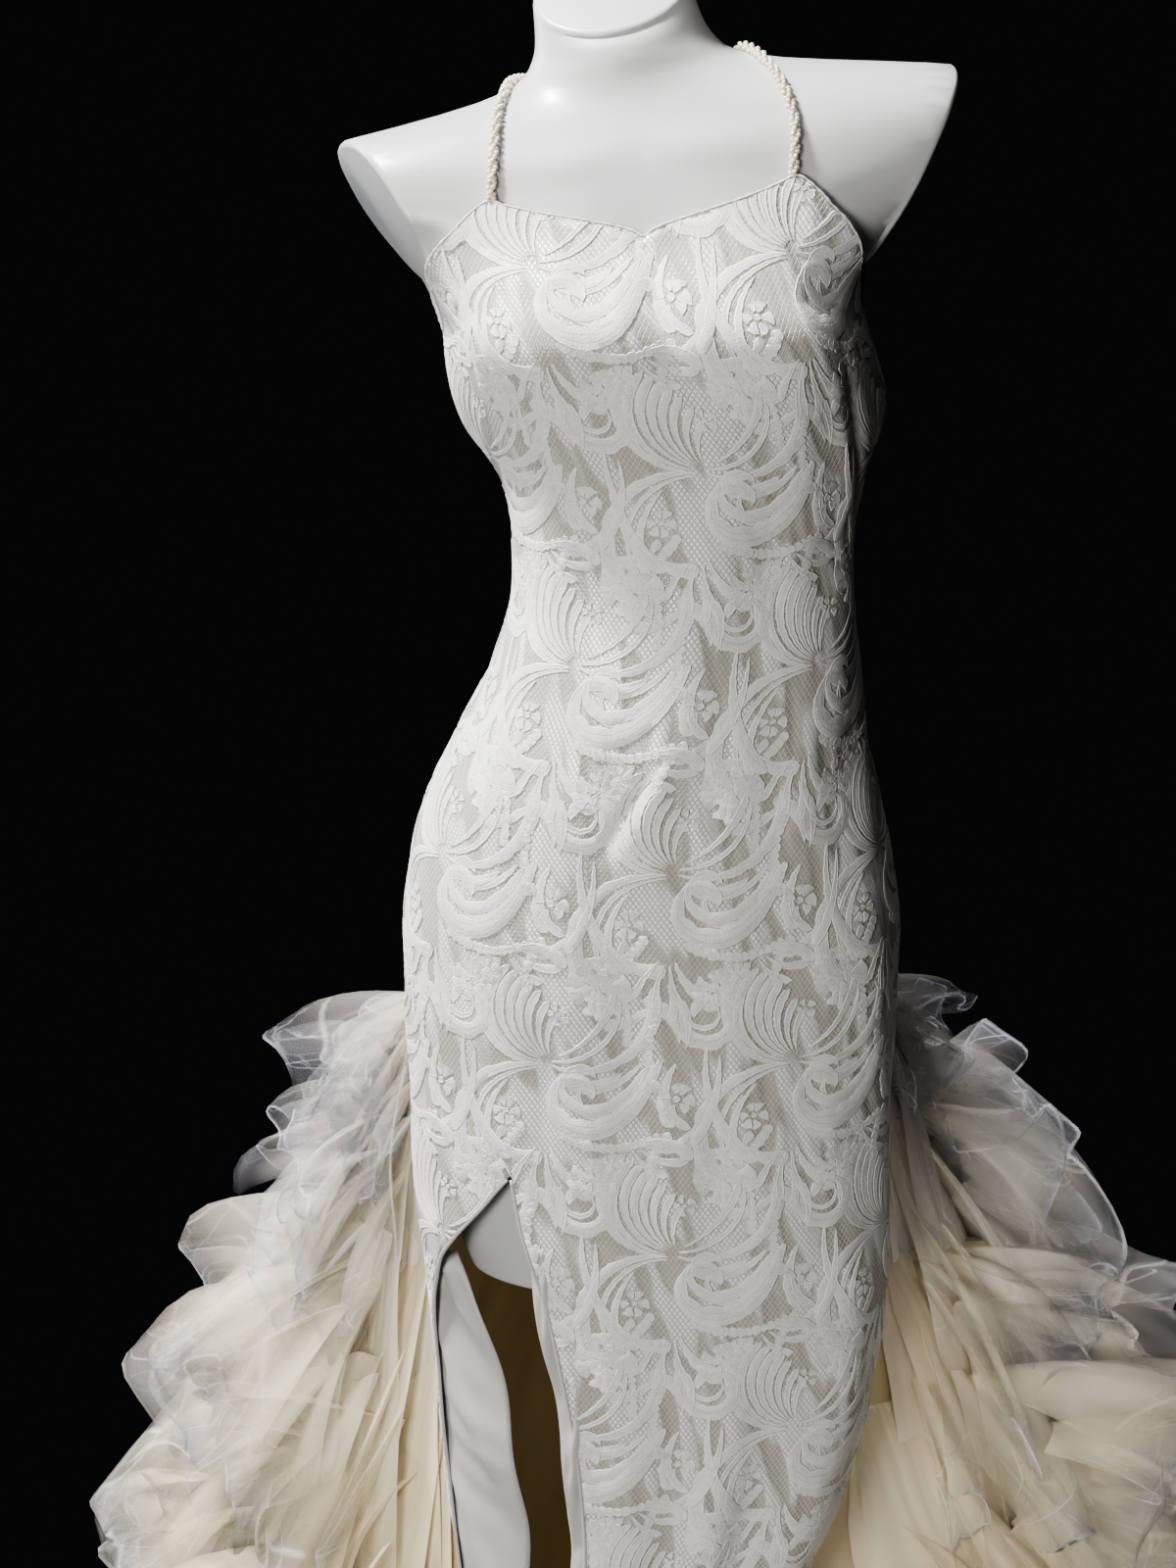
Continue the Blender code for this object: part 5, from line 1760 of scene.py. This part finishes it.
class DRESS_OT_panels(bpy.types.Operator):
    """Build the front and back panels."""

    bl_idname = "dress.panels"
    bl_label = "Lace panels"

    def execute(self, context):
        settings = context.scene.dress_cloth
        finish = lace_ground_finish(settings)
        pieces = [(front_sheet(finish), "front_panel", FRONT_LENGTH)]
        for sign, side in ((1, "left"), (-1, "right")):
            piece = back_sheet(f"back_cloth_{side}", sign, finish)
            pieces.append((piece, f"back_panel_{side}", BACK_LENGTH))
        raised = clothwork_finish(settings)
        for piece, node, length in pieces:
            lace = self.lace(node, raised)
            for part in lace:
                belongs(part, "lace")
            declare_sheet(piece, length)
            thicken(piece, settings.cloth_wall)
            belongs(piece, "lace", node)
        return {"FINISHED"}

    @staticmethod
    def lace(node, finish):
        """The raised strokes of the lace on one panel."""
        if node == "front_panel":
            cut = LaceCut(fit_front, range(-3, 4), range(-10, 3))
            return cut.pieces("front_lace", finish, LACE_SPLITS)
        if node == "back_panel_left":
            return LaceCut(fit_back(1), range(0, 4), range(-4, 2)).pieces("back_lace_left", finish, ())
        return LaceCut(fit_back(-1), range(-5, 1), range(-4, 2)).pieces("back_lace_right", finish, ())


class DRESS_OT_edges(bpy.types.Operator):
    """Build the rolled edge of the neckline, the armholes and the low back."""

    bl_idname = "dress.edges"
    bl_label = "Bound edges"
    edge = 0.0008
    seam = 0.0014
    side = 0.0007
    seam_rise = 0.0008
    side_gap = 0.2
    side_top = 1.170
    lift = 0.0010
    pitch = 0.0022

    def execute(self, context):
        settings = context.scene.dress_cloth
        finish = clothwork_finish(settings)
        end = SIDE_SEAM - self.side_gap
        angles = np.linspace(-end, end, 400)
        self.bind("edge_front", angles, neckline(np.abs(angles)), finish, self.edge)
        for sign, side in ((1, "left"), (-1, "right")):
            angles = sign * np.linspace(SIDE_SEAM + self.side_gap, CENTRE_BACK, 130)
            self.bind(f"edge_back_{side}", angles, back_top(angles), finish, self.edge)
            heights = np.full(130, RUFFLE_SEAM + self.seam_rise)
            self.bind(f"edge_seam_{side}", angles, heights, finish, self.seam)
            heights = np.linspace(RUFFLE_SEAM, BACK_EDGE_CENTRE, 90)
            self.bind(f"edge_zip_{side}", np.full(90, sign * CENTRE_BACK), heights, finish, self.edge)
            heights = np.linspace(HEM_HEIGHT, self.side_top, 260)
            angles = side_left(heights) if sign > 0 else side_right(heights)
            self.bind(f"edge_side_{side}", sign * angles, heights, finish, self.side)
        return {"FINISHED"}

    def bind(self, name, angles, heights, finish, radius):
        """A soft cord along a line on the cloth, uneven as the folded lace under it."""
        lift = np.full(len(angles), self.lift)
        points = even(CLOTH.at(CLOTH.u_of(angles, heights), heights, lift), self.pitch)
        knot = np.arange(len(points))
        thick = radius * (1 + 0.30 * np.sin(knot * 1.9) + 0.2 * np.sin(knot * 0.73))
        piece = cord_piece(name, points, thick, finish, sides=7)
        mark(piece, "half", np.full(len(piece.data.vertices), EDGE_HALF))
        belongs(piece, "lace")


class DRESS_OT_strap(bpy.types.Operator):
    """String the beads of the halter strap, three strands twisted together."""

    bl_idname = "dress.strap"
    bl_label = "Beaded strap"
    strands = 3
    bead_gap = 1.12
    strand_out = 0.60
    bead_sizes = (0.92, 1.06)
    line_step = 0.001
    upright = (0.2, 0.9, 0.4)
    seat = 0.0004
    root_rise = 0.0012
    seed = 7

    def execute(self, context):
        settings = context.scene.dress_cloth
        line = even(self.route(), self.line_step)
        bead, bead_faces = self.bead(settings.bead)
        finish = pearl_finish(settings)
        points, faces = [], []
        tangent = unit(np.gradient(line, axis=0))
        side = unit(np.cross(tangent, self.upright))
        other = np.cross(tangent, side)
        along = np.arange(len(line)) * self.line_step
        total, rng = 0, np.random.default_rng(self.seed)
        for strand in range(self.strands):
            turn = 2 * np.pi * (along / settings.twist + strand / self.strands)
            offset = side * np.cos(turn)[:, None] + other * np.sin(turn)[:, None]
            strung = line + offset * settings.bead * self.strand_out
            for spot in even(strung, settings.bead * self.bead_gap):
                points.append(bead * rng.uniform(*self.bead_sizes) + spot)
                faces += [[k + total for k in face] for face in bead_faces]
                total += len(bead)
        mesh = np.concatenate(points)
        piece = cloth_mesh("strap_beads", mesh, faces, mesh[:, :2], finish)
        belongs(piece, "beads", "halter_strap")
        return {"FINISHED"}

    def route(self):
        """The strap's own line, laid on the form."""
        form = bpy.data.objects["form_shell"]
        surface = BVHTree.FromObject(form, bpy.context.evaluated_depsgraph_get())
        root_height = float(neckline(ROOT_ANGLE)) + self.root_rise
        ends = []
        for sign in (1, -1):
            radius = form_radius(sign * ROOT_ANGLE, root_height) + STRAP_RADIUS
            ends.append(place(sign * ROOT_ANGLE, root_height, radius))
        knots = [ends[0], *(np.array(knot) for knot in STRAP_ROUTE), ends[1]]
        laid = []
        for point in smooth_route(knots, steps=6):
            spot, normal, _, _ = surface.find_nearest(Vector(point))
            laid.append(spot + normal * (STRAP_RADIUS + self.seat))
        return np.array(laid)

    @staticmethod
    def bead(size):
        """One bead's points and faces."""
        bpy.ops.object.select_all(action="DESELECT")
        bpy.ops.mesh.primitive_ico_sphere_add(subdivisions=2, radius=size / 2)
        model = bpy.context.active_object
        points = np.array([v.co[:] for v in model.data.vertices])
        faces = [list(f.vertices) for f in model.data.polygons]
        bpy.data.objects.remove(model)
        return points, faces


class DRESS_OT_linings(bpy.types.Operator):
    """Build the satin that shows in the slit, and the piping on its edges."""

    bl_idname = "dress.linings"
    bl_label = "Linings and piping"
    piping_beside = 0.0008
    piping_lift = 0.0006
    piping_below = 0.004
    piping_pitch = 0.003

    def execute(self, context):
        settings = context.scene.dress_cloth
        finish = satin_finish(settings)
        for strip in LININGS:
            piece = lining_sheet(strip, finish)
            declare_sheet(piece, LINING_LENGTH)
            thicken(piece, settings.satin_wall)
            belongs(piece, "satin", strip.node)
        level = np.linspace(SLIT_TOP - self.piping_below, HEM_HEIGHT, 280)
        for name, edge, sign, node in (
            ("piping_outer", slit_left, 1, "slit_piping_outer"),
            ("piping_inner", slit_right, -1, "slit_piping_inner"),
        ):
            u = CLOTH.u_of(edge(level), level) + sign * self.piping_beside
            lift = np.full(len(level), self.piping_lift)
            line = even(CLOTH.at(u, level, lift), self.piping_pitch)
            belongs(cord_piece(name, line, settings.piping, finish), "satin", node)
        return {"FINISHED"}


class DRESS_OT_train(bpy.types.Operator):
    """Build the skirt of the train and its tiers of gathered net."""

    bl_idname = "dress.train"
    bl_label = "Net train"

    def execute(self, context):
        settings = context.scene.dress_cloth
        skirt = train_sheet(skirt_finish(settings))
        declare_sheet(skirt, TRAIN_LENGTH)
        thicken(skirt, settings.satin_wall)
        belongs(skirt, "satin", "train_skirt")
        finish = tulle_finish(settings)
        for number, tier in enumerate(TIERS, start=1):
            piece = ruffle_piece(number, tier, finish)
            belongs(piece, "tulle", f"ruffle_tier_{number}")
            declare_sheet(piece, NET_LENGTH)
        return {"FINISHED"}


class DRESS_OT_stand(bpy.types.Operator):
    """Give the stand its brushed steel."""

    bl_idname = "dress.stand"
    bl_label = "Stand"

    def execute(self, context):
        finish = steel_finish(context.scene.dress_form)
        for node in ("stand_base", "stand_plate", "stand_pole"):
            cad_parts[node].material_slots[0].material = finish
        return {"FINISHED"}


Lamp = namedtuple("Lamp", "name place target width height power spread warmth")
LAMPS = (
    Lamp("key", (-1.22, -0.05, 3.26), (0.0, 0.0, 1.05), 0.40, 0.40, 205.0, 180.0, (1.0, 0.985, 0.985)),
    Lamp("rim", (-1.7, 1.2, 1.5), (0.0, 0.1, 0.6), 0.6, 1.4, 26.0, 180.0, (0.86, 0.90, 1.0)),
    Lamp("fill", (-1.15, -2.4, 1.25), (0.0, 0.0, 0.8), 0.9, 0.9, 60.0, 180.0, (1.0, 0.98, 0.955)),
    Lamp("top", (0.1, -0.3, 2.9), (0.0, 0.0, 1.0), 1.0, 0.8, 5.0, 180.0, (1.0, 1.0, 1.0)),
    Lamp("train_right", (1.15, -1.9, 0.9), (0.52, 0.10, 0.46), 0.3, 0.3, 0.5, 28.0, (0.97, 0.985, 1.0)),
)
PLINTH_RADIUS = 0.62
PLINTH_DEPTH = 0.02
PLINTH_MIDDLE = (0.05, 0.28, -PLINTH_DEPTH / 2)
CAMERA_DISTANCE = 2.4
CAMERA_RISE = 14.0
CAMERA_TARGET = (-0.042, 0.0, 0.93)


class DRESS_OT_stage(bpy.types.Operator):
    """Build the plinth, the lights and the camera."""

    bl_idname = "dress.stage"
    bl_label = "Studio"

    def execute(self, context):
        settings = context.scene.dress_stage
        bpy.ops.object.select_all(action="DESELECT")
        bpy.ops.mesh.primitive_cylinder_add(
            vertices=160, radius=PLINTH_RADIUS, depth=PLINTH_DEPTH, location=PLINTH_MIDDLE
        )
        plinth = context.active_object
        plinth.name = "plinth"
        bpy.ops.object.transform_apply(location=True, rotation=True, scale=True)
        finish = Finish("plinth paint", settings.floor, 0.7)
        finish.set("Normal", finish.relief(finish.noise(60, 4), 0.0006, 0.3))
        plinth.data.materials.append(finish.material)
        world = bpy.data.worlds.new("studio")
        world.use_nodes = True
        world.node_tree.nodes["Background"].inputs["Color"].default_value = (*settings.backdrop, 1.0)
        context.scene.world = world
        context.scene.view_settings.look = "AgX - Medium High Contrast"
        for lamp in LAMPS:
            self.light(lamp)
        self.camera(context, settings.lens)
        return {"FINISHED"}

    @staticmethod
    def light(lamp):
        data = bpy.data.lights.new(lamp.name, "AREA")
        data.shape = "RECTANGLE"
        data.size, data.size_y = lamp.width, lamp.height
        data.energy = lamp.power
        data.spread = math.radians(lamp.spread)
        data.color = lamp.warmth
        obj = link(bpy.data.objects.new(lamp.name, data))
        obj.location = lamp.place
        aim = Vector(lamp.target) - Vector(lamp.place)
        obj.rotation_euler = aim.to_track_quat("-Z", "Y").to_euler()

    @staticmethod
    def camera(context, lens):
        data = bpy.data.cameras.new("camera")
        data.lens = lens
        data.sensor_width = 36.0
        obj = link(bpy.data.objects.new("camera", data))
        rise = math.radians(CAMERA_RISE)
        target = Vector(CAMERA_TARGET)
        away = Vector((0.0, -math.cos(rise), math.sin(rise))) * CAMERA_DISTANCE
        obj.location = target + away
        obj.rotation_euler = (-away).to_track_quat("-Z", "Y").to_euler()
        context.scene.camera = obj


OPERATORS = (
    DRESS_OT_form,
    DRESS_OT_panels,
    DRESS_OT_edges,
    DRESS_OT_linings,
    DRESS_OT_strap,
    DRESS_OT_train,
    DRESS_OT_stand,
    DRESS_OT_stage,
)


class DRESS_PT_pieces(bpy.types.Panel):
    """Lists the pieces of the dress."""

    bl_label = "Mermaid evening dress"
    bl_space_type = "VIEW_3D"
    bl_region_type = "UI"
    bl_category = "Dress"

    def draw(self, context):
        for operator in OPERATORS:
            self.layout.operator(operator.bl_idname)


GROUPS = {"dress_cloth": DressSettings, "dress_form": FormSettings, "dress_stage": StageSettings}


def register():
    for item in (*GROUPS.values(), *OPERATORS, DRESS_PT_pieces):
        bpy.utils.register_class(item)
    for name, group in GROUPS.items():
        setattr(bpy.types.Scene, name, bpy.props.PointerProperty(type=group))


def unregister():
    for name in GROUPS:
        delattr(bpy.types.Scene, name)
    for item in (DRESS_PT_pieces, *reversed(OPERATORS), *reversed(GROUPS.values())):
        bpy.utils.unregister_class(item)


def main():
    register()
    for operator in OPERATORS:
        family, name = operator.bl_idname.split(".")
        getattr(getattr(bpy.ops, family), name)()


if __name__ == "__main__":
    main()
